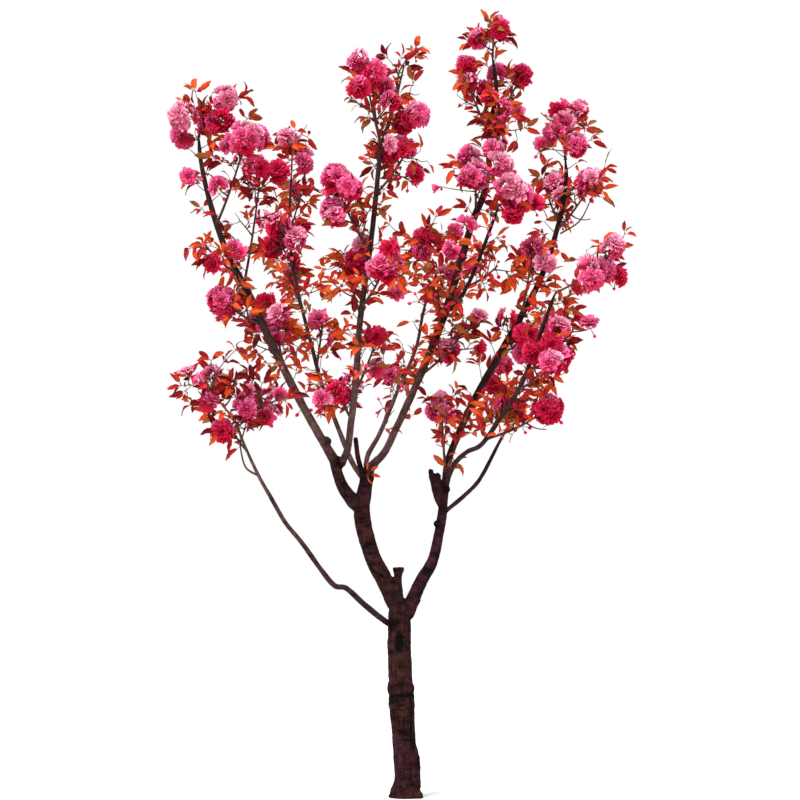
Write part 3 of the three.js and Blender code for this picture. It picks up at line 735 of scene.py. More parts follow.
def clear_of_limbs(point, margin):
    return bool(np.all(row_lengths(limb_samples - point) - limb_girths > margin))


def in_sky(point, margin=0):
    """True if something of this half width would close one of the crown's gaps."""
    return bool(np.any(row_lengths(SKY[:, :2] - as_seen(point)) < SKY[:, 2] + margin))


def crowds_blossom(point):
    """True if a leaf here would push into a flower, or hang in front of a cluster that stands out."""
    if flower_places and np.min(row_lengths(np.array(flower_places) - point)) < LEAF_ROOM:
        return True
    if not shown_clusters:
        return False
    shown = np.array(shown_clusters)
    over = row_lengths(shown[:, :2] - as_seen(point)) < 0.42 * shown[:, 3]
    return bool(np.any(over & (point[1] < shown[:, 2])))


def basis_for(axis, roll):
    side = leaning(axis, 90, roll)
    return np.stack([side, np.cross(axis, side), axis])


def grow_twig(start, end, radii, random, sides=5):
    """A twig that bows a little between its ends. Gives back its points and the way that its tip points."""
    span = np.linalg.norm(end - start)
    share = np.linspace(0, 1, max(3, int(span / TWIG_STEP)) + 1)[:, None]
    bow = leaning(unit(end - start), 90, random.turn()) * span * random.between((0.02, 0.1))
    bow = bow - UP * TWIG_SAG * span
    points = start + (end - start) * share + bow * 4 * share * (1 - share)
    flare = 1 + 0.5 * np.exp(-share[:, 0] * span / 4)
    twig_heap.add(*tube(points, between(radii, share[:, 0]) * flare, sides))
    return points, unit(points[-1] - points[-2])


def stalk(start, end, radii, sides=3):
    """A thin stalk that arches a little."""
    share = np.linspace(0, 1, 4)[:, None]
    arch = UP * 0.05 * np.linalg.norm(end - start)
    points = start + (end - start) * share + arch * 4 * share * (1 - share)
    stalk_heap.add(*tube(points, between(radii, share[:, 0]), sides))


def add_leaf(root, out, length, tint, random):
    """One leaf on its own stalk, if it has room."""
    base = root + out * random.between(STALK)
    side = leaning(out, 90, 90 + random.between((-70, 70)))
    side = unit(side - out * side.dot(out))
    top = np.cross(out, side)
    if top[2] < 0:
        side, top = -side, -top
    verts, faces, marks = LEAVES[int(random() * len(LEAVES))]
    placed = base + length * verts @ np.stack([out, side, top])
    middle = base + out * 0.5 * length
    if not inside(placed) or not clear_of_limbs(middle, 3) or in_sky(middle, 4) or crowds_blossom(middle):
        return
    leaf_heaps[tint].add(placed, faces, np.column_stack([marks[:, :2], np.full(len(marks), random())]))
    stalk(root, base + out, (0.95, 0.75))


def leaf_tuft(tip, aim, count, tint, random):
    """Young leaves that spread from one bud."""
    phase = random.turn()
    for k in range(count):
        out = leaning(aim, random.between(TUFT_LEAN), phase + k * GOLDEN_ANGLE)
        shade = tint if random() < TUFT_OWN_TINT else random.pick(LEAF_TINTS)
        add_leaf(tip, unit(out - UP * LEAF_DROOP), random.between(YOUNG_LEAF), shade, random)


def add_flower(foot, centre, facing, radius, tint, random, shape):
    """One double flower on its stalk. Gives back whether it had room."""
    verts, faces, marks = FLOWERS[shape]
    placed = centre + radius / FLOWER_SIZE * verts @ basis_for(facing, random.turn())
    head = centre + facing * 0.45 * radius
    if not inside(placed) or not clear_of_limbs(centre + facing * 8, 12) or in_sky(head, 10):
        return False
    if any(np.linalg.norm(head - other) < FLOWER_GAP for other in flower_places):
        return False
    flower_places.append(head)
    # Painted light from above: petals higher on the flower, and flowers that face up, take more of the pale
    # rim colour, and lower ones stay deep
    rise = 0.45 * (placed[:, 2] - centre[2]) / radius
    tone = np.clip(0.5 * marks[:, 2] + 0.25 + 0.2 * facing[2] + rise, 0, 1)
    bloom_heaps[tint].add(placed, faces, np.column_stack([marks[:, :2], tone]))
    neck = centre - facing * FLOWER_NECK
    stalk(foot, neck, (1.1, 1.0), 4)
    cup = np.stack([neck - facing, centre - facing, centre + facing * 4])
    stalk_heap.add(*tube(cup, np.array([1.1, 3.2, 3.6]), 6))
    return True


def add_bud(foot, tip, tint, random):
    verts, faces, marks = BUDS[int(random() * len(BUDS))]
    placed = tip + random.between((0.6, 0.95)) * verts @ basis_for(unit(tip - foot), random.turn())
    if inside(placed):
        bloom_heaps[tint].add(placed, faces, marks)
        stalk(foot, tip + unit(tip - foot) * 1.5, (0.9, 1.6))


def blossom_cluster(tip, aim, width, tint, random):
    """Flowers that hang outward from one spur until they fill the width, with a few buds."""
    count = int(np.clip(round(3.9 * (width / 70) ** 2), 1, MOST_FLOWERS))
    offset = max(9.0, width / 2 - 22)
    phase = random.turn()
    for k in range(count):
        for attempt in range(3):
            lean = 15 if count == 1 else 18 + 100 * (k + 0.5) / count + random.between((-14, 14))
            way = unit(leaning(aim, lean, phase + (k + 0.37 * attempt) * GOLDEN_ANGLE) - UP * 0.1)
            facing = unit(way + 0.3 * leaning(way, 90, random.turn()) * random())
            half_open = random() >= OPEN_SHARE
            shape = OPEN_FLOWERS + int(random() * 2) if half_open else int(random() * OPEN_FLOWERS)
            size = random.between(FLOWER_RADIUS) * min(1.0, 0.5 + width / 120)
            # Painted light from above: a flower on top of the cluster may take the next paler tint, and one
            # underneath the next deeper tint
            painted_light_step = int(way[2] > 0.3) - int(way[2] < -0.2) if random() < 0.5 else 0
            shade = SHADES[min(max(SHADES.index(tint) + painted_light_step, 0), len(SHADES) - 1)]
            centre = tip + way * offset * random.between((0.85, 1.15))
            if add_flower(tip, centre, facing, size, shade, random, shape):
                break
    for _ in range(int(random() * 2.4)):
        way = unit(leaning(aim, random.between((50, 115)), random.turn()) - UP * 0.5)
        add_bud(tip, tip + way * (offset + random.between((12, 26))), tint, random)


def bloom_share(height):
    """The share of spurs that flower, which grows with their height."""
    return float(np.clip((height - 1300) / 8000, 0.02, 0.1))


def spur(root, aim, length, tint, bloom, random):
    """A short side shoot that ends in leaves, and in flowers or buds on some."""
    tip = root + aim * length
    if not inside(tip[None]) or in_sky(tip):
        return
    points, ahead = grow_twig(root, tip, SPUR_RADII, random)
    flowering = bloom_share(tip[2])
    kind = random.pick({"leaves": LEAF_SPURS - flowering, "bloom": flowering, "buds": BUD_SPURS})
    if kind == "bloom":
        blossom_cluster(points[-1], ahead, random.between(SPUR_BLOOM_WIDTH), bloom, random)
    if kind == "buds":
        for k in range(3):
            way = unit(leaning(ahead, random.between((20, 70)), 120 * k) - UP * 0.35)
            add_bud(points[-1], points[-1] + way * random.between((14, 30)), bloom, random)
    leaf_tuft(points[-1], ahead, 4 if kind == "leaves" else 2, tint, random)


def tints_of(limb_name):
    # Painted shade: the low left bough's leaves take the darker tints
    return PAINTED_SHADE_TINTS if limb_name == "low_left_bough" else LEAF_TINTS


def reach_for(across, up, short, random):
    """A twig from the nearest wood that stops short of a place seen from the front."""
    nearest = plans[int(np.argmin(np.hypot(hearts[:, 0] - across, hearts[:, 1] - up)))]
    back = nearest["row"][2] + random.between((-0.5, 0.5)) * nearest["row"][3]
    target = seen(float(across), float(up) + 5.0, float(back))
    cost = row_lengths(wood - target) + 0.8 * np.maximum(0, wood[:, 2] - target[2] + 12)
    foot = wood[int(np.argmin(cost))]
    span = np.linalg.norm(target - foot)
    tip = target - (target - foot) * min(0.7, short / span)
    points, ahead = grow_twig(foot, tip, REACH_RADII, random)
    return points, ahead, tints_of(nearest["limb"].name)


# Plan the masses, then grow their stems and twigs, and the single shoots
plans = []
for index, limb in enumerate(limbs):
    for k, row in enumerate(MASSES.get(limb.name, [])):
        plans.append(plan_mass(limb, row, SEED_LIMB * (index + 1) + SEED_MASS * k))

for plan in plans:
    random = Seeded(plan["seed"] + TWIG_STREAM)
    stem, girth = plan["stem"], plan["girth"]
    share = np.linspace(0, 1, len(stem))
    flare = 1 + 0.5 * np.exp(-share * np.linalg.norm(stem[-1] - stem[0]) / 6)
    radii = between((girth, min(STEM_RADII[1], girth)), share) * flare
    twig_heap.add(*tube(stem, radii, 7))
    wood_points.extend(stem[2:])
    plan["lines"] = []
    for root, tip, axis in plan["twigs"]:
        points, _ = grow_twig(root, tip, TWIG_RADII, random, 6)
        wood_points.extend(points[1:])
        plan["lines"].append((points, axis))
for name in MASSES:
    limb = by_name[name]
    wood_points.extend(limb.at(np.arange(0.2 * limb.length, limb.length, 25)))

random = Seeded(SEED_SHOOTS)
for rows, radii, leaves in SHOOTS:
    knots = np.array(rows, float)
    points = smooth_line(seen(knots[:, 0], knots[:, 1], knots[:, 2]))[::6]
    twig_heap.add(*tube(points, np.linspace(*radii, len(points)), 7))
    wood_points.extend(points[3:])
    leaf_tuft(points[-1], unit(points[-1] - points[-2]), leaves, "orange", random)

# Clusters and sprays that stand out come before the masses' own blossom and leaves, to have the room
wood = np.array(wood_points)
hearts = np.array([plan["row"][:3] for plan in plans], float)
for number, (across, up, width, tint) in enumerate(CLUSTERS):
    random = Seeded(SEED_CLUSTER + SEED_MASS * number)
    points, ahead, tints = reach_for(across, up, 22 if width < SMALL_CLUSTER else 3 + 0.12 * width, random)
    shown_clusters.append((across, up, points[-1][1], width))
    blossom_cluster(points[-1], ahead, width, tint, random)
    leaf_tuft(points[-2], ahead, CLUSTER_LEAVES, random.pick(tints), random)
for number, (across, up, count) in enumerate(SPRAYS):
    random = Seeded(SEED_SPRAY + SEED_MASS * number)
    points, ahead, tints = reach_for(across, up, SPRAY_SHORT, random)
    tint = random.pick(RED_TINTS if across > RED_FROM and up < RED_BELOW else tints)
    leaf_tuft(points[-1], ahead, count - count // 2, tint, random)
    leaf_tuft(points[len(points) // 2], ahead, count // 2, tint, random)

# Each mass bears spurs, blossom and leaves of its own, and each bough bears spurs
for plan in plans:
    random = Seeded(plan["seed"] + BLOOM_STREAM)
    tints = tints_of(plan["limb"].name)
    stem = plan["stem"]
    span = np.linalg.norm(stem[-1] - stem[0])
    for points, axis in plan["lines"]:
        if np.linalg.norm(points[-1] - points[0]) > LONG_TWIG:
            spur(points[len(points) // 2], leaning(axis, 60, random.turn()), random.between(TWIG_SPUR_LENGTH),
                 random.pick(tints), random.pick(BLOOM_TINTS), random)
    for centre, axis, radius in plan["balls"]:
        foot = centre - axis * BALL_DEPTH
        if random() < (BALL_BLOOM if tints is LEAF_TINTS else DARK_BALL_BLOOM):
            blossom_cluster(foot, axis, BALL_WIDTH * radius, random.pick(BLOOM_TINTS), random)
        leaf_tuft(foot, axis, BALL_LEAVES, random.pick(tints), random)
    for root, out, length in plan["blades"]:
        points, ahead = grow_twig(root, root + out * length * BLADE_TWIG, BLADE_RADII, random, 4)
        leaf_tuft(points[-1], ahead, BLADE_LEAVES, random.pick(tints), random)
    for place in np.arange(STEM_SPUR_FIRST, span, STEM_SPUR_STEP):
        here = stem[int(place / span * (len(stem) - 1))]
        aim = leaning(unit(stem[-1] - stem[0]), random.between(STEM_SPUR_LEAN), random.turn())
        length = random.between(STEM_SPUR_LENGTH)
        spur(here, aim, length, random.pick(tints), random.pick(BLOOM_TINTS), random)

for index, limb in enumerate(limbs):
    if limb.name not in MASSES:
        continue
    random = Seeded(SEED_LIMB * (index + 1) + SPUR_STREAM)
    along, turn = 0.0, random.turn()
    while along < limb.length - 4:
        along += random.between(SPUR_STEP)
        turn += GOLDEN_ANGLE
        here = limb.at(along)
        if here[2] < BARE_BELOW.get(limb.name, BARE_ELSEWHERE):
            continue
        aim = unit(leaning(limb.ahead(along), random.between(SPUR_LEAN), turn) + UP * TWIG_LIFT)
        length = random.between(SPUR_LENGTH) + limb.radius(along)
        spur(here, aim, length, random.pick(tints_of(limb.name)), random.pick(BLOOM_TINTS), random)


# Materials
class Nodes:
    """The nodes of one material, and the sums that its looks are made of."""

    def __init__(self, name, roughness, specular):
        self.material = bpy.data.materials.new(name)
        self.material.use_nodes = True
        self.tree = self.material.node_tree
        self.shader = self.tree.nodes["Principled BSDF"]
        self.put(self.shader, {"Roughness": roughness, "Specular IOR Level": specular})

    def put(self, made, inputs):
        """Give a node its inputs: a link to another node, or a plain value."""
        for key, value in inputs.items():
            if isinstance(value, bpy.types.NodeSocket):
                self.tree.links.new(value, made.inputs[key])
            else:
                made.inputs[key].default_value = value
        return made

    def add(self, kind, inputs, **settings):
        made = self.tree.nodes.new("ShaderNode" + kind)
        for key, value in settings.items():
            setattr(made, key, value)
        return self.put(made, inputs)

    def mark(self, name):
        """A value that the mesh holds at its vertices."""
        return self.add("Attribute", {}, attribute_name=name).outputs["Vector"]

    def parts(self, vector):
        return tuple(self.add("SeparateXYZ", {"Vector": vector}).outputs)

    def stretched(self, vector, scale):
        return self.add("Mapping", {"Vector": vector, "Scale": scale}).outputs["Vector"]

    def noisy(self, place, scale, detail=3.0, roughness=0.55):
        inputs = {"Vector": place, "Scale": scale, "Detail": detail, "Roughness": roughness}
        return self.add("TexNoise", inputs).outputs["Fac"]

    def ranged(self, value, low, high, to_low=0.0, to_high=1.0):
        inputs = {"Value": value, "From Min": low, "From Max": high, "To Min": to_low, "To Max": to_high}
        return self.add("MapRange", inputs).outputs["Result"]

    def math(self, kind, first, second=0.0):
        return self.add("Math", {0: first, 1: second}, operation=kind).outputs[0]

    def times(self, first, second):
        return self.math("MULTIPLY", first, second)

    def layered(self, colour, *layers):
        """A colour with others laid over it, each by its share."""
        for share, over in layers:
            first, second = (rgb(c) if isinstance(c, tuple) else c for c in (colour, over))
            colour = self.add("Mix", {0: share, 6: first, 7: second}, data_type="RGBA").outputs[2]
        return colour

    def finish(self, colour, height, strength, distance):
        """Take the colour and the relief. Gives back the material."""
        bump = self.add("Bump", {"Height": height, "Strength": strength, "Distance": distance})
        self.put(self.shader, {"Base Color": colour, "Normal": bump.outputs["Normal"]})
        return self.material


def rgb(colour):
    return (*colour, 1.0)


def bark_material():
    """Dark red-brown cherry bark with flat grey patches, level rows of breathing pores and fine cracks."""
    nodes = Nodes("cherry_bark", 0.86, 0.03)
    ranged, times = nodes.ranged, nodes.times
    place, spot = nodes.mark("bark"), nodes.mark("spot")
    girth, dark, alone = nodes.parts(nodes.mark("state"))
    across, _, rise = nodes.parts(spot)
    level = nodes.stretched(place, (1, 1, 5.5))
    upright = nodes.stretched(place, (1, 1, 0.22))
    patches = nodes.noisy(nodes.stretched(spot, (1, 1, 1.8)), 24)
    pores = ranged(nodes.noisy(level, 75, 2), 0.59, 0.66)
    bands = nodes.noisy(level, 22)
    cracks = ranged(nodes.noisy(upright, 260), 0.36, 0.50)
    grain = nodes.noisy(place, 520, 5, 0.7)
    drift = ranged(nodes.noisy(spot, 9, 2), 0.42, 0.60)
    plum = times(ranged(rise, 0.56, 0.66, 0, 0.6), ranged(across, 0.0, 0.05))
    pale_old = nodes.layered(
        (0.046, 0.0105, 0.0195), (drift, (0.060, 0.0185, 0.0130)), (plum, (0.054, 0.0105, 0.0250)))
    old = nodes.layered((0.0050, 0.0014, 0.0024), (ranged(patches, 0.36, 0.66), pale_old))
    # Painted sunlight: the young bark of the left boughs just above the fork is lighter; the shaded share
    # darkens the right boughs there as painted shade
    painted_sunlight = times(ranged(rise, 0.88, 1.04, 0, 0.32), ranged(across, 0.03, 0.1, 1, 0))
    shaded = times(ranged(rise, 0.86, 0.95, 0, 0.72), ranged(across, 0.06, 0.10))
    young = nodes.layered(
        (0.034, 0.0145, 0.0150),
        (ranged(patches, 0.34, 0.66), (0.125, 0.068, 0.060)),
        (painted_sunlight, (0.150, 0.080, 0.072)),
        (shaded, (0.022, 0.0058, 0.0125)),
        (ranged(rise, 0.58, 0.76, 0.68, 0), (0.020, 0.0068, 0.0105)),
        # Painted shade: young bark high in the crown turns darker
        (ranged(rise, 1.16, 1.5, 0, 0.74), (0.016, 0.0058, 0.0085)))
    seam = times(ranged(alone, 0, 1, 0.8, 0), ranged(patches, 0.3, 0.7, 1, 0.5))
    colour = nodes.layered(
        young,
        (girth, old),
        (ranged(bands, 0.52, 0.7, 0, 0.5), (0.052, 0.025, 0.023)),
        (times(pores, 0.55), (0.070, 0.036, 0.028)),
        (ranged(grain, 0.3, 0.7, 0.35, 0.0), (0.004, 0.002, 0.002)),
        (ranged(cracks, 0, 1, 0.55, 0.0), (0.003, 0.0015, 0.0015)),
        (seam, (0.008, 0.0030, 0.0034)),
        (times(dark, 0.85), (0.003, 0.002, 0.002)))
    height = times(grain, 0.5)
    for relief, share in ((pores, 0.5), (cracks, 0.45), (bands, 0.9)):
        height = nodes.math("ADD", height, times(relief, share))
    nodes.put(nodes.shader, {"Roughness": ranged(grain, 0.3, 0.7, 0.74, 0.95)})
    return nodes.finish(colour, height, 0.7, 0.0022)


def shoot_material(name, low, high):
    """Thin bark of twigs or the skin of stalks, with small pale flecks."""
    nodes = Nodes(name, 0.7, 0.03)
    place = nodes.mark("place")
    level = nodes.stretched(place, (1, 1, 3))
    blotch = nodes.ranged(nodes.noisy(place, 0.09), 0.35, 0.65)
    flecks = nodes.ranged(nodes.noisy(level, 0.6, 2), 0.62, 0.68, 0, 0.6)
    colour = nodes.layered(low, (blotch, high), (flecks, (0.13, 0.06, 0.045)))
    return nodes.finish(colour, nodes.noisy(level, 0.9), 0.3, 0.0006)


def petal_material(name, heart, rim):
    """Petals: deep at the heart, paler and streaked towards the rim."""
    nodes = Nodes(name, 0.62, 0.02)
    mark = nodes.mark("petal")
    along, _, tone = nodes.parts(mark)
    streaks = nodes.noisy(nodes.stretched(mark, (0.8, 7, 30)), 1.6)
    # The tone holds each petal's own random tone and the painted light and shade set when the flowers are
    # made; more tone lays on more of the pale rim
    share = nodes.times(nodes.ranged(along, 0.25, 1.0), nodes.ranged(tone, 0, 1, 0.2, 1.25))
    share = nodes.math("ADD", share, nodes.ranged(streaks, 0.35, 0.65, -0.16, 0.16))
    share = nodes.add("Clamp", {"Value": share}).outputs["Result"]
    return nodes.finish(nodes.layered(heart, (share, rim)), streaks, 0.25, 0.001)


def leaf_material(name, blade, vein, edge):
    """Young leaves: a paler midrib and side veins, and a darker edge."""
    nodes = Nodes(name, 0.48, 0.06)
    mark = nodes.mark("leaf")
    along, beside, tone = nodes.parts(mark)
    off = nodes.math("ABSOLUTE", beside)
    slant = nodes.math("SUBTRACT", along, nodes.times(off, 0.16))
    ribs = nodes.ranged(nodes.math("SINE", nodes.times(slant, 58.0)), 0.72, 1.0, 0, 0.45)
    veins = nodes.math("MAXIMUM", ribs, nodes.ranged(off, 0.05, 0.16, 0.75, 0.0))
    blotch = nodes.noisy(nodes.stretched(mark, (1, 0.6, 40)), 4)
    colour = nodes.layered(
        blade,
        (nodes.ranged(blotch, 0.35, 0.7, 0.0, 0.8), edge),
        (nodes.ranged(off, 0.7, 1.0, 0.0, 0.5), edge),
        (veins, vein),
        (nodes.ranged(tone, 0, 1, 0.55, 0.0), edge))
    return nodes.finish(colour, veins, 0.35, 0.0009)


# Base colours: heart and rim of the petals, and blade, veins and edge of the leaves
PETAL_COLOURS = {
    "deep": ((0.50, 0.0012, 0.026), (0.74, 0.034, 0.122)),
    "mid": ((0.60, 0.004, 0.062), (0.84, 0.186, 0.405)),
    "pale": ((0.66, 0.056, 0.165), (0.85, 0.395, 0.535)),
}
LEAF_COLOURS = {
    "orange": ((0.52, 0.062, 0.006), (0.64, 0.15, 0.036), (0.39, 0.022, 0.004)),
    "rust": ((0.36, 0.010, 0.008), (0.48, 0.06, 0.032), (0.25, 0.003, 0.006)),
    "olive": ((0.26, 0.078, 0.014), (0.38, 0.16, 0.05), (0.18, 0.034, 0.008)),
    "maroon": ((0.17, 0.0014, 0.005), (0.28, 0.02, 0.018), (0.092, 0.0008, 0.0025)),
}
bark = bark_material()
twig_bark = shoot_material("twig_bark", (0.045, 0.015, 0.014), (0.105, 0.042, 0.034))
stalk_skin = shoot_material("stalk_skin", (0.16, 0.026, 0.016), (0.24, 0.07, 0.026))
petals = {tint: petal_material("petal_" + tint, *colours) for tint, colours in PETAL_COLOURS.items()}
blades = {tint: leaf_material("leaf_" + tint, *colours) for tint, colours in LEAF_COLOURS.items()}


# Wood: limbs drawn as curves and joined. The trunk and forks are remeshed into one skin, and all the
# wood takes the bark's relief
def select_only(*pieces):
    """Select these pieces alone, with the first one active."""
    bpy.ops.object.select_all(action="DESELECT")
    for piece in pieces:
        piece.select_set(True)
    if pieces:
        bpy.context.view_layer.objects.active = pieces[0]


def collar(limb, stations):
    """How much a limb swells where it leaves the limbs before it."""
    places = limb.at(stations)
    swell = np.zeros(len(stations))
    for other in limbs[:by_index[limb.name]]:
        gaps = np.linalg.norm(places[:, None] - other.points[None], axis=2) - other.radii[None]
        swell = np.maximum(swell, np.exp(-np.maximum(gaps.min(1), 0) / 11))
    return swell * (0.12 if limb.name in WHOLE else 0.3)


def drawn_at(limb, stations):
    """Where the wood lies. The pruned top stands forward, the low bough leaves from the trunk's side
    and the far left bough bows outward."""
    places = limb.at(stations)
    if limb.name == "trunk":
        places[:, 1] -= TOP_FORWARD * ramp(places[:, 2], *TOP_SPAN)
    if limb.name == "low_left_bough":
        places[:, 1] += LOW_BOUGH_BACK * (1 - ramp(stations, *LOW_BOUGH_SPAN))
    if limb.name == "far_left_bough":
        places[:, 0] -= LEFT_BOW * np.sin(np.pi * ramp(stations, *LEFT_BOW_SPAN)) ** 0.8
    return places


def limb_curve(limb, start, end, narrow_start, narrow_end, sides):
    """A limb between two lengths along it, as a mesh with closed ends."""
    stations = np.linspace(start, end, max(4, int((end - start) / WOOD_STEP)))
    radii = limb.radius(stations) * (1 + collar(limb, stations))
    if limb.name in MASSES:
        radii = radii * (0.5 + 0.5 * ramp(limb.length - stations, 0, TIP_TAPER))
    radii = radii - narrow_start * (1 - ramp(stations - start, 0, TUCK_TAPER))
    radii = radii - narrow_end * (1 - ramp(end - stations, 0, TUCK_TAPER))
    line = bpy.data.curves.new(limb.name + "_line", "CURVE")
    line.dimensions = "3D"
    line.bevel_depth = 1.0
    line.bevel_resolution = (sides - 4) // 2
    line.use_fill_caps = True
    spline = line.splines.new("POLY")
    spline.points.add(len(stations) - 1)
    places = np.column_stack([drawn_at(limb, stations) * MM, np.ones(len(stations))])
    spline.points.foreach_set("co", places.astype(np.float32).ravel())
    spline.points.foreach_set("radius", (radii * MM).astype(np.float32))
    select_only(placed_in_scene(limb.name + "_line", line))
    bpy.ops.object.convert(target="MESH")
    return bpy.context.view_layer.objects.active


def joined(pieces, name):
    select_only(*pieces)
    bpy.ops.object.join()
    pieces[0].name = name
    return pieces[0]


def apply_modifier(piece, kind, settings):
    select_only(piece)
    bpy.ops.object.modifier_add(type=kind)
    modifier = piece.modifiers[-1]
    for key, value in settings.items():
        setattr(modifier, key, value)
    bpy.ops.object.modifier_apply(modifier=modifier.name)


def vertex_values(mesh, name):
    flat = np.empty(len(mesh.vertices) * 3, np.float32)
    mesh.vertices.foreach_get(name, flat)
    return flat.reshape(-1, 3).astype(float)


# Every station along every limb: its place, radius, length along, limb, and two ways square to the limb
LIMB_OFFSET = 700
axis_rows = []
for index, limb in enumerate(limbs):
    stations = np.arange(0, limb.length + WOOD_STEP, float(WOOD_STEP))
    places = drawn_at(limb, stations)
    ahead = unit_rows(np.gradient(places, axis=0))
    side = unit_rows(np.cross(ahead, BACK))
    axis_rows.append((places, limb.radius(stations), stations + LIMB_OFFSET * index,
                      np.full(len(stations), index), side, np.cross(ahead, side)))
axis_points, axis_radii, axis_along, axis_limb, axis_side, axis_other = (
    np.concatenate(column) for column in zip(*axis_rows))


def nearest_axis(verts):
    """For each vertex the station of its limb, how close a second limb comes, and the girth hereabouts."""
    best, rival, girth = np.empty(len(verts), int), np.empty(len(verts)), np.empty(len(verts))
    for start in range(0, len(verts), VERTS_AT_A_TIME):
        part = slice(start, start + VERTS_AT_A_TIME)
        chunk = verts[part]
        square = (chunk ** 2).sum(1)[:, None] - 2 * chunk @ axis_points.T + (axis_points ** 2).sum(1)[None]
        gap = np.sqrt(np.maximum(square, 0)) - axis_radii[None]
        pick = gap.argmin(1)
        own = axis_limb[pick][:, None] == axis_limb[None]
        rival[part] = np.where(own, 1e6, gap).min(1) - gap[np.arange(len(chunk)), pick]
        best[part] = pick
        near = np.exp((gap.min(1)[:, None] - gap) / 7)
        girth[part] = near @ axis_radii / near.sum(1)
    return best, rival, girth


def field(places, scale, seed):
    return np.array([noise.noise(Vector(p)) for p in places * scale + seed])


def bulges(height, rows):
    """Rounded swellings and hollows, each about one height."""
    return sum(share * np.exp(-((height - middle) / width) ** 2) for middle, width, share in rows)


def dress(piece):
    """Give a wood piece its lumps, bands and scars, and the values that its bark is coloured by."""
    mesh = piece.data
    verts = vertex_values(mesh, "co") / MM
    station, rival, around = nearest_axis(verts)
    limb, girth = axis_limb[station], axis_radii[station]
    arm = verts - axis_points[station]
    angle = np.arctan2((arm * axis_other[station]).sum(1), (arm * axis_side[station]).sum(1))
    ahead = np.cross(axis_side[station], axis_other[station])
    along = axis_along[station] + (arm * ahead).sum(1)
    place = np.column_stack([girth * np.cos(angle), girth * np.sin(angle), along])
    alone = ramp(rival, 0, 10)

    # Lumps, level rows and upright cracks, then the marks
    lumps = field(place, 0.021, 3.1) * 0.085 * girth + field(place, 0.06, 7.7) * 0.035 * girth
    levels = field(place * np.array([0.4, 0.4, 1.7]), 0.10, 5.3)
    cracks = field(place * np.array([1.4, 1.4, 0.16]), 0.13, 9.9)
    push = lumps + alone * (np.minimum(0, cracks + 0.05) * 0.14 * girth + levels * 0.028 * girth)
    # The deeper cracks are darkened as painted shade in their hollows
    dark = 0.6 * alone * np.clip(-2.4 * cracks - 0.15, 0, 1) * np.clip(girth / 30, 0.3, 1)
    for centre, reach, height, depth in MARKS:
        off = verts - np.array(centre)
        fall = np.exp(-(off[:, 0] ** 2 + off[:, 1] ** 2) / reach[0] ** 2 - off[:, 2] ** 2 / reach[1] ** 2)
        push += height * fall * (1 + 0.35 * levels)
        dark = np.maximum(dark, depth * np.clip(1.7 * fall * (1 + 0.8 * levels) - 0.35, 0, 1))

    # The trunk's ring, pruned top and root lobes, and the stub's broken end
    trunk = limb == by_index["trunk"]
    rise = verts[:, 2]
    height = rise + 5 * np.sin(2 * angle + 0.7) + 20 * field(place, 0.03, 1.7)
    groove = np.where(trunk, bulges(height, RING_GROOVES), 0)
    push += 2.2 * np.where(trunk, bulges(height, RING_ROLLS), 0) - 3.0 * groove
    push += np.where(trunk, bulges(rise, PRUNED_TOP), 0)
    push += np.where(trunk, 0.12 * np.cos(5 * angle) * np.exp(-rise / 34) * girth, 0)
    jagged = np.where(limb == by_index["broken_stub"], ramp(rise, 930, 970), 0)
    push += jagged * field(verts * np.array([1, 1, 0.25]), 0.17, 2.2) * 8
    dark = np.maximum(np.maximum(dark, 1.2 * groove), 0.8 * jagged)

    # The foot stays flat on the ground
    verts = verts + vertex_values(mesh, "normal") * (push * ramp(rise, 0, 3))[:, None]
    verts[:, 2] = np.maximum(verts[:, 2], 0)
    mesh.vertices.foreach_set("co", (verts * MM).astype(np.float32).ravel())
    mesh.update()
    thick = np.maximum(np.clip((around - 12.3) / 4, 0, 1), 1 - ramp(rival, 0, 45))
    thick = np.maximum(thick, np.isin(limb, [by_index[name] for name in WHOLE]))
    put_values(mesh, "bark", place * MM)
    put_values(mesh, "spot", verts * MM)
    put_values(mesh, "state", np.column_stack([thick, dark, alone]))
    mesh.polygons.foreach_set("use_smooth", np.ones(len(mesh.polygons), bool))
    mesh.materials.clear()
    mesh.materials.append(bark)


skin_parts, bough_parts = [], []
for limb in limbs:
    whole = limb.name in WHOLE
    reach = FORK_REACH.get(limb.name, limb.length)
    if reach:
        slim = 0 if limb.name == "trunk" else 0.5 * limb.radius(0)
        skin_parts.append(limb_curve(limb, 0, reach, slim, 0 if whole else FORK_TUCK, SKIN_SIDES))
    if not whole:
        start = max(reach - FORK_OVERLAP, 0)
        bough_parts.append(limb_curve(limb, start, limb.length, BOUGH_TUCK if reach else 0, 0, BOUGH_SIDES))
for *centre, radius in KNOTS:
    location = [size * MM for size in centre]
    bpy.ops.mesh.primitive_ico_sphere_add(subdivisions=3, radius=radius * MM, location=location)
    skin_parts.append(bpy.context.object)
skin = joined(skin_parts, "trunk_and_forks")
apply_modifier(skin, "REMESH", {"mode": "VOXEL", "voxel_size": SKIN_VOXEL * MM})

# Smooth the skin most where two limbs meet
_, rival, _ = nearest_axis(vertex_values(skin.data, "co") / MM)
crotch = skin.vertex_groups.new(name="crotch")
for index, gap in enumerate(rival):
    crotch.add([index], float(np.clip(1 - gap / SMOOTH_REACH, 0.05, 1)), "REPLACE")
apply_modifier(skin, "SMOOTH", {"iterations": SMOOTH_ROUNDS, "factor": 0.5, "vertex_group": "crotch"})
dress(skin)
boughs = joined(bough_parts, "boughs")
dress(boughs)


def built(heaps, name, materials, attribute):
    """The pieces of one kind, tint by tint."""
    return [piece for tint in materials
            for piece in heaps[tint].build(name + tint, materials[tint], attribute)]


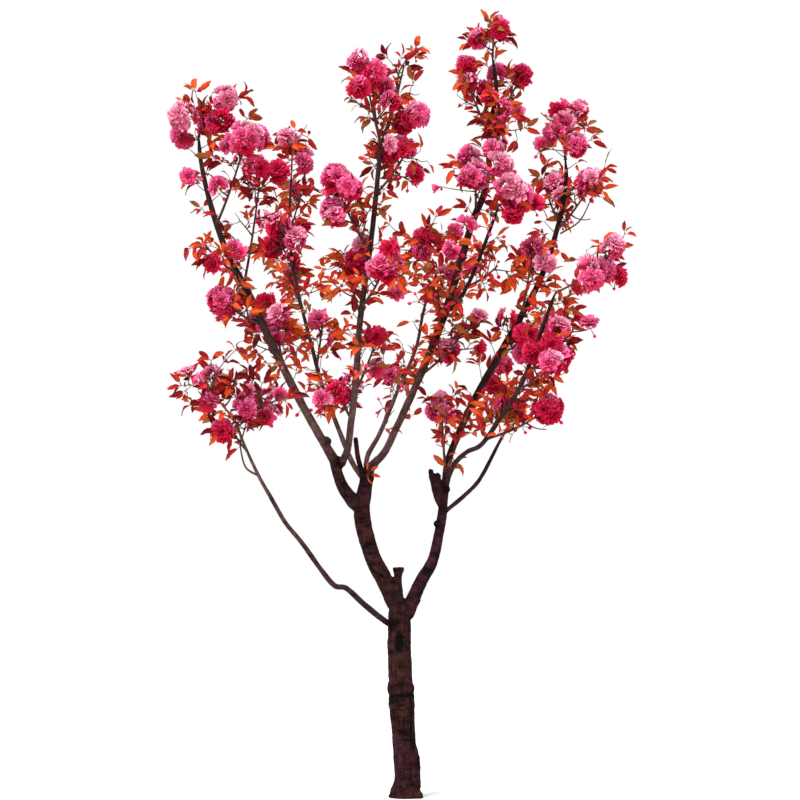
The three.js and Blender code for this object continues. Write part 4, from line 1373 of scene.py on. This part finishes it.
twigs = twig_heap.build("twigs", twig_bark, "place")
stalks = stalk_heap.build("stalks", stalk_skin, "place")
leaf_pieces = built(leaf_heaps, "leaves_", blades, "leaf")
bloom_pieces = built(bloom_heaps, "blossom_", petals, "petal")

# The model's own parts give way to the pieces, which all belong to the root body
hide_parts(*WHOLE)
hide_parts(*[limb.name for limb in limbs if limb.name not in WHOLE])
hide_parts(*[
    limb.name.replace("_bough", "") + "_mass_" + str(k + 1)
    for limb in limbs for k in range(len(MASSES.get(limb.name, [])))])
for piece in [skin, boughs] + twigs + stalks + leaf_pieces + bloom_pieces:
    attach(piece, "root")

# Studio: a pale floor, soft light and a camera at the photo's viewing angle, in metres and degrees
FLOOR_SIZE, FLOOR_DROP = 60, 0.0005
SUN_PLACE, SUN_TURN, SUN_WIDTH, SUN_POWER = (-2, -3, 5), (38, 0, -28), 16, 4.2
CAMERA_AIM = (-0.021, 0, 1.188)
select_only()
bpy.ops.mesh.primitive_plane_add(size=FLOOR_SIZE, location=(0, 0, -FLOOR_DROP))
floor = bpy.context.object
floor.name = "floor"
pale = Nodes("pale_floor", 0.95, 0.0)
pale.put(pale.shader, {"Base Color": rgb((0.86, 0.86, 0.86))})
floor.data.materials.append(pale.material)

world = bpy.data.worlds.new("studio")
world.use_nodes = True
background = world.node_tree.nodes["Background"]
background.inputs["Color"].default_value = rgb((1, 1, 1))
background.inputs["Strength"].default_value = 1.0
bpy.context.scene.world = world
sun_turn = [math.radians(turn) for turn in SUN_TURN]
bpy.ops.object.light_add(type="SUN", location=SUN_PLACE, rotation=sun_turn)
sun = bpy.context.object.data
sun.energy = SUN_POWER
sun.angle = math.radians(SUN_WIDTH)

lens = bpy.data.cameras.new("camera")
lens.sensor_width = 36
lens.lens = 135
camera = placed_in_scene("camera", lens)
camera.location = (0, -EYE_DISTANCE * MM, EYE_HEIGHT * MM)
aim = Vector(CAMERA_AIM) - camera.location
camera.rotation_euler = aim.to_track_quat("-Z", "Y").to_euler()
bpy.context.scene.camera = camera
bpy.context.scene.view_settings.view_transform = "Standard"
